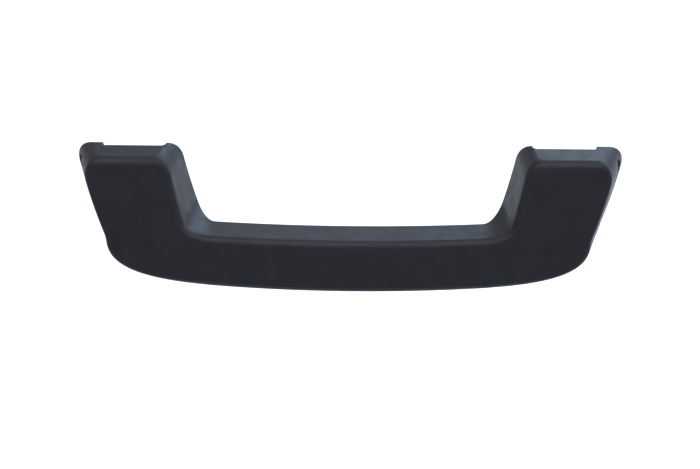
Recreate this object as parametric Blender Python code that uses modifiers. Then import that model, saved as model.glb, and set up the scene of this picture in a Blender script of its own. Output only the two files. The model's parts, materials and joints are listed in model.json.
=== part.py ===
"""Fold-down assist handle for a car interior, as an assembly of separate pieces.

Frame: X runs along the handle, +Z is up, the car's mounting plane is y = 0 and the cabin is on -Y.
The origin lies on the mounting plane, midway between the two mounting screws.
The handle hangs from two brackets and swings about a hinge axis that is parallel to X.
The right half is described, and the left half mirrors it.
"""
import math
from collections import namedtuple

import bmesh
import bpy
from mathutils import Matrix, Vector

MM = 0.001
GAP = 0.3 * MM

# Hinge axis and the round ears at the top of each arm
HINGE_Y = -12.5 * MM
HINGE_Z = 15.5 * MM
EAR_RADIUS = 8.0 * MM
TOP_Z = HINGE_Z + EAR_RADIUS
PIN_RADIUS = 2.5 * MM
PIN_INNER_X = 75.0 * MM
PIN_OUTER_X = 113.4 * MM
PIN_HOLE_INNER_X = PIN_INNER_X - 0.4 * MM

# Arm sides: x at a reference height, lean (x per z) and bow (x per z squared)
SIDE_REF_Z = 16.0 * MM
ARM_INNER_X, ARM_INNER_LEAN, ARM_INNER_BOW = 71.5 * MM, 0.21, 1.9
ARM_OUTER_X, ARM_OUTER_LEAN, ARM_OUTER_BOW = 117.6 * MM, 0.19, 2.6
ARM_FAN = 15.0
ARM_BACK_Y = HINGE_Y + EAR_RADIUS
ARM_INNER_DRAFT, ARM_OUTER_DRAFT = 0.13, 0.26

# Rounded tops of the arms: how far each edge draws in, and over what height
TOP_FRONT_END = (3.2 * MM, 3.2 * MM)
EAR_OUTER_END = (10.7 * MM, 10.5 * MM)
EAR_INNER_END = (6.0 * MM, 8.5 * MM)

# Grip bar: upper and lower edges are long arcs in the front view
GRIP_TOP_Z = -12.2 * MM
GRIP_TOP_ARC = 1050.0 * MM
GRIP_BOTTOM_Z = -37.0 * MM
GRIP_BOTTOM_ARC = 850.0 * MM
GRIP_BACK_Y = -14.0 * MM

# Corners between arm and grip: where each corner curve starts and ends
INNER_CORNER_Z, INNER_CORNER_X = -4.5 * MM, 57.5 * MM
OUTER_CORNER_Z, OUTER_CORNER_X = -16.5 * MM, 62.0 * MM
INNER_CORNER_PULL = (0.60, 0.60)
OUTER_CORNER_PULL = (0.66, 0.73)

# Front faces: the arm face rakes forward going down, the grip face rakes back and bows in plan
ARM_FRONT_Y, ARM_RAKE = -28.7 * MM, 0.144
CREASE_Z = -17.6 * MM
GRIP_RAKE = 0.09
GRIP_PLAN_ARC = 2800.0 * MM

# Edge radii of the moulding
ARM_INNER_EDGE, ARM_OUTER_EDGE = 3.4 * MM, 2.0 * MM
GRIP_TOP_EDGE = 2.8 * MM
GRIP_BOTTOM_EDGE = 3.5 * MM
ARM_BACK_EDGE = 1.2 * MM
GRIP_BACK_EDGE = 3.5 * MM

# Moulding walls, pocket behind each arm and recess between the ears
WALL = 2.5 * MM
POCKET_TOP_Z = 6.0 * MM
RECESS_INNER_X, RECESS_OUTER_X = 78.3 * MM, 105.5 * MM
RECESS_EDGE_Y = HINGE_Y - 1.25 * MM
RECESS_ROOF_Z = HINGE_Z + 5.8 * MM
RECESS_FLOOR_Z = 4.0 * MM
RECESS_WALL = 3.0 * MM
POCKET_FAN_END = 0.24
CAVITY_FAN_START = 0.32
CUT_PAST = 8.0 * MM

# Rear moulding, its screws and the steel core
REAR_BACK_Y = GRIP_BACK_Y - 0.3 * MM
REAR_THICK = 2.5 * MM
REAR_GAP = 0.45 * MM
END_SCREW_X, END_SCREW_Z = 72.0 * MM, -23.6 * MM
MIDDLE_SCREW_X, MIDDLE_SCREW_Z = 30.0 * MM, -25.0 * MM
SHELL_SCREWS = ((-END_SCREW_X, END_SCREW_Z), (-MIDDLE_SCREW_X, MIDDLE_SCREW_Z),
                (MIDDLE_SCREW_X, MIDDLE_SCREW_Z), (END_SCREW_X, END_SCREW_Z))
BOSS_RADIUS = 3.6 * MM
BOSS_TOP_Y = -20.1 * MM
SEAT_RADIUS, SEAT_FRONT_Y = 4.8 * MM, -19.7 * MM
COUNTERBORE_RADIUS, COUNTERBORE_FLOOR_Y = 3.7 * MM, -17.5 * MM
SHELL_SCREW_HEAD, SHELL_SCREW_HEAD_TALL, SHELL_SCREW_SHANK = 3.2 * MM, 2.0 * MM, 1.4 * MM
SHELL_SCREW_TIP_Y, SHELL_SCREW_POINT = -28.0 * MM, 1.5 * MM
CROSS_LENGTH, CROSS_WIDTH, CROSS_DEPTH = 3.0 * MM, 0.7 * MM, 1.0 * MM
CORE_HALF_LENGTH = 50.0 * MM
CORE_BOTTOM_Z, CORE_TOP_Z = -31.5 * MM, -18.5 * MM
CORE_FRONT_Y, CORE_BACK_Y = -29.5 * MM, -21.5 * MM
CORE_SHEET = 1.2 * MM
PAD_X, PAD_Z, PAD_RADIUS, PAD_THICK = 84.0 * MM, -20.6 * MM, 4.6 * MM, 4.0 * MM

# Brackets
SCREW_X = 90.0 * MM
PLATE_THICK = 6.0 * MM
PLATE_RADIUS = 10.5 * MM
PLATE_TOP_Z = HINGE_Z - 2.0 * MM
PLATE_CORNER = 2.0 * MM
BOSS_OUTER, BOSS_FRONT_Y = 8.0 * MM, -9.0 * MM
KNUCKLE_RADIUS, KNUCKLE_BORE, KNUCKLE_WIDTH = 5.4 * MM, 3.95 * MM, 6.0 * MM
KNUCKLE_INNER_X = RECESS_INNER_X + 1.4 * MM
KNUCKLE_OUTER_X = RECESS_OUTER_X - 1.4 * MM
WEB_BOTTOM_Z = 10.3 * MM
WEB_REACH = 5.0 * MM
ROOTED = 1.0 * MM
PEG_X, PEG_Z, PEG_RADIUS, PEG_LENGTH = 81.5 * MM, 8.5 * MM, 1.8 * MM, 4.0 * MM

# Bushes, mounting screws and their fittings
BUSH_BORE, BUSH_RADIUS, FLANGE_RADIUS, FLANGE_THICK = 2.8 * MM, 3.65 * MM, 4.8 * MM, 0.8 * MM
SLEEVE_BORE, SLEEVE_RADIUS = 3.3 * MM, 4.5 * MM
WASHER_RADIUS, WASHER_THICK = 7.0 * MM, 1.2 * MM
SCREW_SHANK, SCREW_HEAD, SCREW_HEAD_TALL, SCREW_TIP_Y = 3.0 * MM, 5.6 * MM, 4.2 * MM, 16.0 * MM
DRIVE_RADIUS, DRIVE_DEPTH = 2.6 * MM, 2.4 * MM
COVER_RADIUS, COVER_WALL, COVER_FRONT_Y = 9.8 * MM, 1.3 * MM, -17.4 * MM

# Return spring on the left pin
WIRE_RADIUS, COIL_RADIUS, COIL_TURNS, COIL_STEPS = 0.7 * MM, 3.85 * MM, 6.5, 14
SPRING_PITCH = 1.62 * MM
BRACKET_LEG_Y, BRACKET_LEG_Z = -7.65 * MM, 9.0 * MM
HANDLE_LEG_Y, HANDLE_LEG_Z = -27.6 * MM, 2.0 * MM

# Rotary damper on the right pin
DAMPER_RADIUS, DAMPER_CHAMBER, DAMPER_HOLE = 5.2 * MM, 4.3 * MM, 3.6 * MM
DAMPER_INNER_X, DAMPER_OUTER_X, DAMPER_CAP_THICK = 86.1 * MM, 97.7 * MM, 1.0 * MM
DAMPER_FLOOR = 1.2 * MM
DAMPER_TAB_LENGTH, DAMPER_TAB_REACH = 6.0 * MM, 4.6 * MM
ROTOR_BORE, ROTOR_RADIUS = 2.8 * MM, 3.3 * MM
VANE_RADIUS, VANE_ROOT, VANE_WIDTH = 4.0 * MM, 3.05 * MM, 1.6 * MM
VANE_FROM_FLOOR, VANE_FROM_CAP = 1.6 * MM, 3.4 * MM
SEAL_MAJOR, SEAL_MINOR = 3.8 * MM, 0.35 * MM

Section = namedtuple("Section", "inner outer edge_inner edge_outer draft_inner draft_outer "
                     "back_y back_edge front_inset")

AXIS_X = Vector((1.0, 0.0, 0.0))
AXIS_Y = Vector((0.0, 1.0, 0.0))


# ------------------------------------------------------------------ scene helpers

def clear_scene():
    for obj in list(bpy.data.objects):
        bpy.data.objects.remove(obj, do_unlink=True)
    for collection in list(bpy.data.collections):
        bpy.data.collections.remove(collection)


def new_collection(name):
    collection = bpy.data.collections.new(name)
    bpy.context.scene.collection.children.link(collection)
    return collection


def make_material(name, colour, roughness, metallic=0.0):
    material = bpy.data.materials.new(name)
    material.use_nodes = True
    shader = material.node_tree.nodes["Principled BSDF"]
    shader.inputs["Base Color"].default_value = (*colour, 1.0)
    shader.inputs["Roughness"].default_value = roughness
    shader.inputs["Metallic"].default_value = metallic
    material.diffuse_color = (*colour, 1.0)
    return material


def add_object(name, bm, material, smooth_angle=0.6):
    """Turn a bmesh in world coordinates into a named piece."""
    bmesh.ops.recalc_face_normals(bm, faces=bm.faces)
    mesh = bpy.data.meshes.new(name)
    bm.to_mesh(mesh)
    bm.free()
    mesh.shade_smooth()
    mesh.set_sharp_from_angle(angle=smooth_angle)
    mesh.materials.append(material)
    obj = bpy.data.objects.new(name, mesh)
    PARTS.objects.link(obj)
    return obj


def add_cutter(name, bm):
    """A wire-drawn helper solid that only serves as a Boolean operand."""
    bmesh.ops.recalc_face_normals(bm, faces=bm.faces)
    mesh = bpy.data.meshes.new(name)
    bm.to_mesh(mesh)
    bm.free()
    obj = bpy.data.objects.new(name, mesh)
    obj.display_type = "WIRE"
    obj.hide_render = True
    CUTTERS.objects.link(obj)
    return obj


def boolean(obj, operand, operation="DIFFERENCE"):
    modifier = obj.modifiers.new(operand.name, "BOOLEAN")
    modifier.operation = operation
    modifier.object = operand
    modifier.solver = "EXACT"


def add_rod(bm, radius, start, end, segments=32):
    """A capped cylinder between two points."""
    start, end = Vector(start), Vector(end)
    along = end - start
    turn = Vector((0, 0, 1)).rotation_difference(along).to_matrix().to_4x4()
    place = Matrix.Translation((start + end) / 2) @ turn
    bmesh.ops.create_cone(bm, cap_ends=True, segments=segments, radius1=radius, radius2=radius,
                          depth=along.length, matrix=place)


def add_block(bm, middle, size):
    """A box of that size about a point."""
    bmesh.ops.create_cube(bm, size=1.0, matrix=Matrix.Translation(middle) @ Matrix.Diagonal((*size, 1)))


def add_prism(bm, outline, x_start, x_end):
    """A side outline of (y, z) points extruded along X."""
    face = bm.faces.new([bm.verts.new((x_start, y, z)) for y, z in outline])
    pushed = bmesh.ops.extrude_face_region(bm, geom=[face])["geom"]
    moved = [item for item in pushed if isinstance(item, bmesh.types.BMVert)]
    bmesh.ops.translate(bm, verts=moved, vec=(x_end - x_start, 0, 0))


def turned(name, profile, origin, direction, material, steps=32, closed=True):
    """A profile of (radius, height) points turned about an axis with a Screw modifier.

    The profile starts at the top of its outer side and runs down it. A closed one is a ring, and an
    open one starts and ends on the axis.
    """
    mesh = bpy.data.meshes.new(name)
    edges = [(i, i + 1) for i in range(len(profile) - 1)]
    if closed:
        edges.append((len(profile) - 1, 0))
    mesh.from_pydata([(radius, 0.0, height) for radius, height in profile], edges, [])
    obj = bpy.data.objects.new(name, mesh)
    PARTS.objects.link(obj)
    obj.location = origin
    obj.rotation_mode = "QUATERNION"
    obj.rotation_quaternion = Vector((0, 0, 1)).rotation_difference(direction)
    screw = obj.modifiers.new("turn", "SCREW")
    screw.axis = "Z"
    screw.steps = steps
    screw.render_steps = steps
    screw.use_merge_vertices = True
    screw.merge_threshold = 0.00001
    mesh.materials.append(material)
    return obj


def tube_profile(bore, radius, low, high):
    return [(radius, high), (radius, low), (bore, low), (bore, high)]


# ------------------------------------------------------------------ outline of the handle

def arm_inner_x(z):
    drop = SIDE_REF_Z - z
    return ARM_INNER_X - ARM_INNER_LEAN * drop - ARM_INNER_BOW * drop ** 2


def arm_outer_x(z):
    drop = SIDE_REF_Z - z
    return ARM_OUTER_X - ARM_OUTER_LEAN * drop - ARM_OUTER_BOW * drop ** 2


def grip_top(x):
    return GRIP_TOP_Z + x ** 2 / (2 * GRIP_TOP_ARC)


def grip_bottom(x):
    return GRIP_BOTTOM_Z + x ** 2 / (2 * GRIP_BOTTOM_ARC)


def arm_face_y(z):
    return ARM_FRONT_Y - ARM_RAKE * (TOP_Z - z)


def front_y(x, z):
    """The front surface: whichever of the arm face and the grip face lies further back."""
    grip_face = arm_face_y(CREASE_Z) + x ** 2 / (2 * GRIP_PLAN_ARC) + GRIP_RAKE * (CREASE_Z - z)
    return max(arm_face_y(z), grip_face)


def crease_z(x):
    """Height at which the arm face and the grip face meet."""
    return CREASE_Z + x ** 2 / (2 * GRIP_PLAN_ARC) / (ARM_RAKE + GRIP_RAKE)


def bezier(points, t):
    a, b, c, d = points
    s = 1.0 - t
    return a * s ** 3 + b * 3 * s ** 2 * t + c * 3 * s * t ** 2 + d * t ** 3


def corner_curve(start, start_slope, end, end_slope, pull):
    """Cubic corner from an arm side (slope dx/dz) to a long arc (slope dz/dx)."""
    height = (end.y - start.y + end_slope * (start.x - end.x)) / (1 - end_slope * start_slope)
    meet = Vector((start.x + start_slope * height, start.y + height))
    return (start, start.lerp(meet, pull[0]), end.lerp(meet, pull[1]), end)


def inner_corner():
    drop = SIDE_REF_Z - INNER_CORNER_Z
    start = Vector((arm_inner_x(INNER_CORNER_Z), INNER_CORNER_Z))
    end = Vector((INNER_CORNER_X, grip_top(INNER_CORNER_X)))
    return corner_curve(start, ARM_INNER_LEAN + 2 * ARM_INNER_BOW * drop,
                        end, INNER_CORNER_X / GRIP_TOP_ARC, INNER_CORNER_PULL)


def outer_corner():
    drop = SIDE_REF_Z - OUTER_CORNER_Z
    start = Vector((arm_outer_x(OUTER_CORNER_Z), OUTER_CORNER_Z))
    end = Vector((OUTER_CORNER_X, grip_bottom(OUTER_CORNER_X)))
    return corner_curve(start, ARM_OUTER_LEAN + 2 * ARM_OUTER_BOW * drop,
                        end, OUTER_CORNER_X / GRIP_BOTTOM_ARC, OUTER_CORNER_PULL)


def end_inset(z, end):
    """How far an elliptic end (reach, rise) has drawn in at height z."""
    reach, rise = end
    climb = min(max(0.0, z - (TOP_Z - rise)), rise) / rise
    return reach * (1 - math.sqrt(1 - climb ** 2))


def fanned(z):
    """Height of the outer end of an arm section whose inner end is at z."""
    return z - ARM_FAN * max(0.0, HINGE_Z - z) ** 2


def arm_section(z):
    outer_z = fanned(z)
    back = HINGE_Y + math.sqrt(EAR_RADIUS ** 2 - max(0.0, z - HINGE_Z) ** 2)
    return Section(
        Vector((arm_inner_x(z) + end_inset(z, EAR_INNER_END), z)),
        Vector((arm_outer_x(outer_z) - end_inset(z, EAR_OUTER_END), outer_z)),
        ARM_INNER_EDGE, ARM_OUTER_EDGE, ARM_INNER_DRAFT, ARM_OUTER_DRAFT,
        back, ARM_BACK_EDGE, end_inset(z, TOP_FRONT_END))


def fan_outer(t):
    """Outer end of a corner section: down the arm side, round the corner, then along the bottom."""
    on_side, on_corner = 0.2, 0.9
    if t < on_side:
        start_z = fanned(INNER_CORNER_Z)
        z = start_z + (OUTER_CORNER_Z - start_z) * t / on_side
        return Vector((arm_outer_x(z), z))
    if t < on_corner:
        return bezier(outer_corner(), (t - on_side) / (on_corner - on_side))
    x = OUTER_CORNER_X + (INNER_CORNER_X - OUTER_CORNER_X) * (t - on_corner) / (1 - on_corner)
    return Vector((x, grip_bottom(x)))


def fan_section(t):
    """A section round the corner, from the foot of the arm (t = 0) to the grip (t = 1)."""
    ease = t * t * (3 - 2 * t)
    return Section(
        bezier(inner_corner(), t), fan_outer(t),
        ARM_INNER_EDGE + (GRIP_TOP_EDGE - ARM_INNER_EDGE) * ease,
        ARM_OUTER_EDGE + (GRIP_BOTTOM_EDGE - ARM_OUTER_EDGE) * ease,
        ARM_INNER_DRAFT * (1 - ease), ARM_OUTER_DRAFT * (1 - ease),
        ARM_BACK_Y + (GRIP_BACK_Y - ARM_BACK_Y) * ease,
        ARM_BACK_EDGE + (GRIP_BACK_EDGE - ARM_BACK_EDGE) * ease, 0.0)


def grip_section(x):
    return Section(Vector((x, grip_top(x))), Vector((x, grip_bottom(x))),
                   GRIP_TOP_EDGE, GRIP_BOTTOM_EDGE, 0.0, 0.0, GRIP_BACK_Y, GRIP_BACK_EDGE, 0.0)


def steps_between(start, end, count):
    """Count evenly spaced values from start up to, but not including, end."""
    return [start + (end - start) * i / count for i in range(count)]


def ear_heights():
    return [HINGE_Z + EAR_RADIUS * math.cos(math.radians(15 * i)) for i in range(6)]


def half_sections(arm_heights, fan_from=0.0, fan_to=1.0, fan_count=10, grip_count=3):
    """Right-hand sections, from the arm down to the middle of the grip."""
    sections = [arm_section(z) for z in arm_heights]
    sections += [fan_section(t) for t in steps_between(fan_from, fan_to, fan_count)]
    if fan_to < 1.0:
        return sections + [fan_section(fan_to)]
    sections += [grip_section(x) for x in steps_between(INNER_CORNER_X, 0.0, grip_count)]
    return sections + [grip_section(0.0)]


def arc_steps(count):
    return [math.pi / 2 * i / count for i in range(count + 1)]


def section_point(section, u, y):
    """A point of a section: u is the distance from its inner end."""
    spot = section.inner + (section.outer - section.inner).normalized() * u
    return Vector((spot.x, y, spot.y))


def front_point(section, u, lift=0.0):
    spot = section_point(section, u, 0.0)
    spot.y = front_y(spot.x, spot.z) + section.front_inset + lift
    return spot


def side_limits(section, y):
    """Where the drafted side walls stand at a depth y, as distances from the inner end."""
    width = (section.outer - section.inner).length
    ahead = section.back_y - y
    return section.draft_inner * ahead, width - section.draft_outer * ahead


def front_limits(section):
    """Where the side walls meet the rounded front edges."""
    width = (section.outer - section.inner).length
    near, _ = side_limits(section, front_point(section, 0.0).y + section.edge_inner)
    _, far = side_limits(section, front_point(section, width).y + section.edge_outer)
    return near, far


def crease_distance(section):
    """Distance from the inner end at which a section crosses the crease, kept inside its edges."""
    near, far = front_limits(section)
    low = near + section.edge_inner * 1.4
    high = far - section.edge_outer * 1.4
    near, far = low, high
    for _ in range(24):
        middle = (near + far) / 2
        spot = section_point(section, middle, 0.0)
        if spot.z > crease_z(spot.x):
            near = middle
        else:
            far = middle
    return min(max(near, low), high)


def outer_ring(section, front_steps=4, back_steps=3):
    """The closed outline of a section, with its four rounded edges."""
    width = (section.outer - section.inner).length
    near, far = front_limits(section)
    edge, back = section.edge_inner, section.back_edge
    ring = [front_point(section, near + edge * (1 - math.cos(a)), edge * (1 - math.sin(a)))
            for a in arc_steps(front_steps)]
    crease = crease_distance(section)
    edge_start, edge_end = near + edge, far - section.edge_outer
    ring += [front_point(section, (edge_start + crease) / 2), front_point(section, crease),
             front_point(section, (crease + edge_end) / 2)]
    edge = section.edge_outer
    ring += [front_point(section, far - edge * (1 - math.sin(a)), edge * (1 - math.cos(a)))
             for a in arc_steps(front_steps)]
    back_y = section.back_y - back
    ring += [section_point(section, width - back * (1 - math.cos(a)), back_y + back * math.sin(a))
             for a in arc_steps(back_steps)]
    ring += [section_point(section, back * (1 - math.sin(a)), back_y + back * math.cos(a))
             for a in arc_steps(back_steps)]
    return ring


def cavity_ring(section):
    """The outline of the hollow behind a section, open past the back."""
    edge = 2.0 * MM
    width = (section.outer - section.inner).length
    near, _ = side_limits(section, front_point(section, 0.0).y + WALL + edge)
    _, far = side_limits(section, front_point(section, width).y + WALL + edge)
    near, far = near + WALL, far - WALL
    bend = min(max(crease_distance(section), near + 1.5 * edge), far - 1.5 * edge)
    stations = [(near, edge), (near + edge, 0.0), (bend, 0.0), (far - edge, 0.0), (far, edge)]
    ring = [front_point(section, u, WALL + lift) for u, lift in stations]
    near, far = side_limits(section, CUT_PAST)
    return ring + [section_point(section, far - WALL, CUT_PAST),
                   section_point(section, near + WALL, CUT_PAST)]


def rear_ring(section):
    """The outline of the rear moulding, which fits inside the walls of the front one."""
    side, ring = WALL + REAR_GAP, []
    for y in (REAR_BACK_Y - REAR_THICK, REAR_BACK_Y):
        near, far = side_limits(section, y)
        ring += [section_point(section, near + side, y), section_point(section, far - side, y)]
    return [ring[0], ring[1], ring[3], ring[2]]


def mirrored(ring):
    return [Vector((-p.x, p.y, p.z)) for p in ring]


def add_loft(bm, rings):
    """A closed solid through rings that have the same number of points.

    Its sides are split into triangles, because a twisted four-sided face isn't flat.
    """
    loops = [[bm.verts.new(p) for p in ring] for ring in rings]
    count = len(loops[0])
    for a, b in zip(loops, loops[1:]):
        for i in range(count):
            j = (i + 1) % count
            bm.faces.new((a[i], a[j], b[j], b[i]))
    bm.faces.new(loops[0][::-1])
    bm.faces.new(loops[-1])
    bmesh.ops.triangulate(bm, faces=bm.faces)


def add_whole_loft(bm, rings):
    """A loft over both halves, from right-hand rings that end in the middle."""
    add_loft(bm, rings + [mirrored(ring) for ring in rings[-2::-1]])


# ------------------------------------------------------------------ swinging handle

def recess_outline():
    """Side view of the recess between two ears: a roof in front, open behind it."""
    back, above = CUT_PAST, TOP_Z + CUT_PAST
    roof_front = arm_face_y(RECESS_ROOF_Z) + RECESS_WALL
    floor_front = arm_face_y(RECESS_FLOOR_Z) + RECESS_WALL
    return [(back, RECESS_FLOOR_Z), (back, above), (RECESS_EDGE_Y, above),
            (RECESS_EDGE_Y, RECESS_ROOF_Z), (roof_front, RECESS_ROOF_Z), (floor_front, RECESS_FLOOR_Z)]


def make_front_shell(material):
    bm = bmesh.new()
    arm_heights = ear_heights() + steps_between(HINGE_Z, INNER_CORNER_Z, 5)
    add_whole_loft(bm, [outer_ring(s) for s in half_sections(arm_heights)])
    shell = add_object("handle_front_shell", bm, material)

    bm = bmesh.new()
    pocket = half_sections(steps_between(POCKET_TOP_Z, INNER_CORNER_Z, 3), 0.0, POCKET_FAN_END, 3)
    rings = [cavity_ring(s) for s in pocket]
    add_loft(bm, rings)
    add_loft(bm, [mirrored(ring) for ring in rings])
    add_whole_loft(bm, [cavity_ring(s) for s in half_sections([], CAVITY_FAN_START, 1.0, 7)])
    boolean(shell, add_cutter("handle_hollows", bm))

    bm = bmesh.new()
    add_prism(bm, recess_outline(), RECESS_INNER_X, RECESS_OUTER_X)
    add_prism(bm, recess_outline(), -RECESS_OUTER_X, -RECESS_INNER_X)
    boolean(shell, add_cutter("ear_recesses", bm))

    bm = bmesh.new()
    for x, z in SHELL_SCREWS:
        add_rod(bm, BOSS_RADIUS, (x, front_y(x, z) + WALL / 2, z), (x, BOSS_TOP_Y, z), 20)
    boolean(shell, add_cutter("screw_bosses", bm), "UNION")

    bm = bmesh.new()
    for x, z in SHELL_SCREWS:
        deep, shallow = (x, SHELL_SCREW_TIP_Y - MM, z), (x, BOSS_TOP_Y + MM, z)
        add_rod(bm, SHELL_SCREW_SHANK + GAP, deep, shallow, 16)
    for side in (-1, 1):
        add_rod(bm, PIN_RADIUS + GAP, (side * PIN_HOLE_INNER_X, HINGE_Y, HINGE_Z),
                (side * (ARM_OUTER_X + CUT_PAST), HINGE_Y, HINGE_Z), 24)
    boolean(shell, add_cutter("screw_and_pin_holes", bm))
    return shell


def make_rear_shell(material):
    bm = bmesh.new()
    sections = half_sections([], CAVITY_FAN_START + 0.03, 1.0, 8)
    add_whole_loft(bm, [rear_ring(s) for s in sections])
    shell = add_object("handle_rear_shell", bm, material)

    seats, bores, holes = bmesh.new(), bmesh.new(), bmesh.new()
    for x, z in SHELL_SCREWS:
        floor, open_end = (x, COUNTERBORE_FLOOR_Y, z), (x, REAR_BACK_Y + CUT_PAST, z)
        add_rod(seats, SEAT_RADIUS, (x, SEAT_FRONT_Y, z), (x, REAR_BACK_Y - MM, z), 24)
        add_rod(bores, COUNTERBORE_RADIUS, floor, open_end, 24)
        add_rod(holes, SHELL_SCREW_SHANK + GAP, (x, SEAT_FRONT_Y - MM, z), open_end, 16)
    boolean(shell, add_cutter("screw_seats", seats), "UNION")
    boolean(shell, add_cutter("screw_counterbores", bores))
    boolean(shell, add_cutter("screw_clearances", holes))
    return shell


def make_grip_core(material):
    """A pressed channel, open towards the back, with clearance holes for the two middle bosses."""
    bm = bmesh.new()
    low, high, front, back = CORE_BOTTOM_Z, CORE_TOP_Z, CORE_FRONT_Y, CORE_BACK_Y
    outline = [(back, low), (front, low), (front, high), (back, high), (back, high - CORE_SHEET),
               (front + CORE_SHEET, high - CORE_SHEET), (front + CORE_SHEET, low + CORE_SHEET),
               (back, low + CORE_SHEET)]
    add_prism(bm, outline, -CORE_HALF_LENGTH, CORE_HALF_LENGTH)
    core = add_object("grip_core", bm, material)
    bm = bmesh.new()
    for x, z in SHELL_SCREWS[1:3]:
        before, behind = (x, front - MM, z), (x, front + CORE_SHEET + MM, z)
        add_rod(bm, BOSS_RADIUS + 2 * GAP, before, behind, 24)
    boolean(core, add_cutter("core_clearances", bm))
    return core


def make_shell_screw(name, x, z, material):
    """A pan head in the counterbore and a shank that runs forward into the boss."""
    head_front = COUNTERBORE_FLOOR_Y + GAP
    head_back = head_front + SHELL_SCREW_HEAD_TALL
    profile = [(0.0, head_back), (SHELL_SCREW_HEAD * 0.7, head_back),
               (SHELL_SCREW_HEAD, head_back - 0.8 * MM), (SHELL_SCREW_HEAD, head_front),
               (SHELL_SCREW_SHANK, head_front), (SHELL_SCREW_SHANK, SHELL_SCREW_TIP_Y + SHELL_SCREW_POINT),
               (SHELL_SCREW_SHANK * 0.4, SHELL_SCREW_TIP_Y), (0.0, SHELL_SCREW_TIP_Y)]
    screw = turned(name, profile, (x, 0, z), AXIS_Y, material, 20, closed=False)
    bm = bmesh.new()
    for wide, tall in ((CROSS_LENGTH, CROSS_WIDTH), (CROSS_WIDTH, CROSS_LENGTH)):
        add_block(bm, (x, head_back, z), (wide, 2 * CROSS_DEPTH, tall))
    boolean(screw, add_cutter(name + "_drive", bm))
    screw.modifiers[-1].use_self = True
    return screw


def make_bumper_pad(name, x, material):
    low = REAR_BACK_Y + GAP
    high = low + PAD_THICK
    profile = [(0.0, high), (PAD_RADIUS - MM, high), (PAD_RADIUS, high - MM), (PAD_RADIUS, low),
               (0.0, low)]
    return turned(name, profile, (x, 0, PAD_Z), AXIS_Y, material, 28, closed=False)


def make_hinge_pin(name, side, material):
    """A plain pin with chamfered ends, from the blind hole to just inside the outer ear."""
    chamfer = 0.5 * MM
    profile = [(0.0, PIN_OUTER_X), (PIN_RADIUS - chamfer, PIN_OUTER_X),
               (PIN_RADIUS, PIN_OUTER_X - chamfer), (PIN_RADIUS, PIN_INNER_X + chamfer),
               (PIN_RADIUS - chamfer, PIN_INNER_X), (0.0, PIN_INNER_X)]
    return turned(name, profile, (0, HINGE_Y, HINGE_Z), AXIS_X * side, material, 32, closed=False)


def make_damper_rotor(material):
    low, high = DAMPER_INNER_X + GAP, DAMPER_OUTER_X - GAP
    rotor = turned("damper_rotor", tube_profile(ROTOR_BORE, ROTOR_RADIUS, low, high),
                   (0, HINGE_Y, HINGE_Z), AXIS_X, material, 32)
    bm = bmesh.new()
    vane_start, vane_end = low + VANE_FROM_FLOOR, high - VANE_FROM_CAP
    for side in (-1, 1):
        middle = HINGE_Z + side * (VANE_ROOT + VANE_RADIUS) / 2
        size = (vane_end - vane_start, VANE_WIDTH, VANE_RADIUS - VANE_ROOT)
        add_block(bm, ((vane_start + vane_end) / 2, HINGE_Y, middle), size)
    boolean(rotor, add_cutter("rotor_vanes", bm), "UNION")
    return rotor


# ------------------------------------------------------------------ brackets and their fittings

def hull_plate(bm, circles, y_front, y_back, segments=32):
    """A plate whose outline is the taut band round circles of (x, z, radius)."""
    for x, z, radius in circles:
        for i in range(segments):
            angle = 2 * math.pi * i / segments
            spot = (x + radius * math.cos(angle), z + radius * math.sin(angle))
            bm.verts.new((spot[0], y_front, spot[1]))
            bm.verts.new((spot[0], y_back, spot[1]))
    result = bmesh.ops.convex_hull(bm, input=bm.verts)
    spare = [v for v in result["geom_interior"] if isinstance(v, bmesh.types.BMVert)]
    bmesh.ops.delete(bm, geom=spare, context="VERTS")
    bmesh.ops.dissolve_limit(bm, angle_limit=0.001, verts=bm.verts, edges=bm.edges)


def knuckle_spans(side):
    """X ranges of the inner and the outer knuckle."""
    inner = (side * KNUCKLE_INNER_X, side * (KNUCKLE_INNER_X + KNUCKLE_WIDTH))
    outer = (side * (KNUCKLE_OUTER_X - KNUCKLE_WIDTH), side * KNUCKLE_OUTER_X)
    return inner, outer


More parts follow.
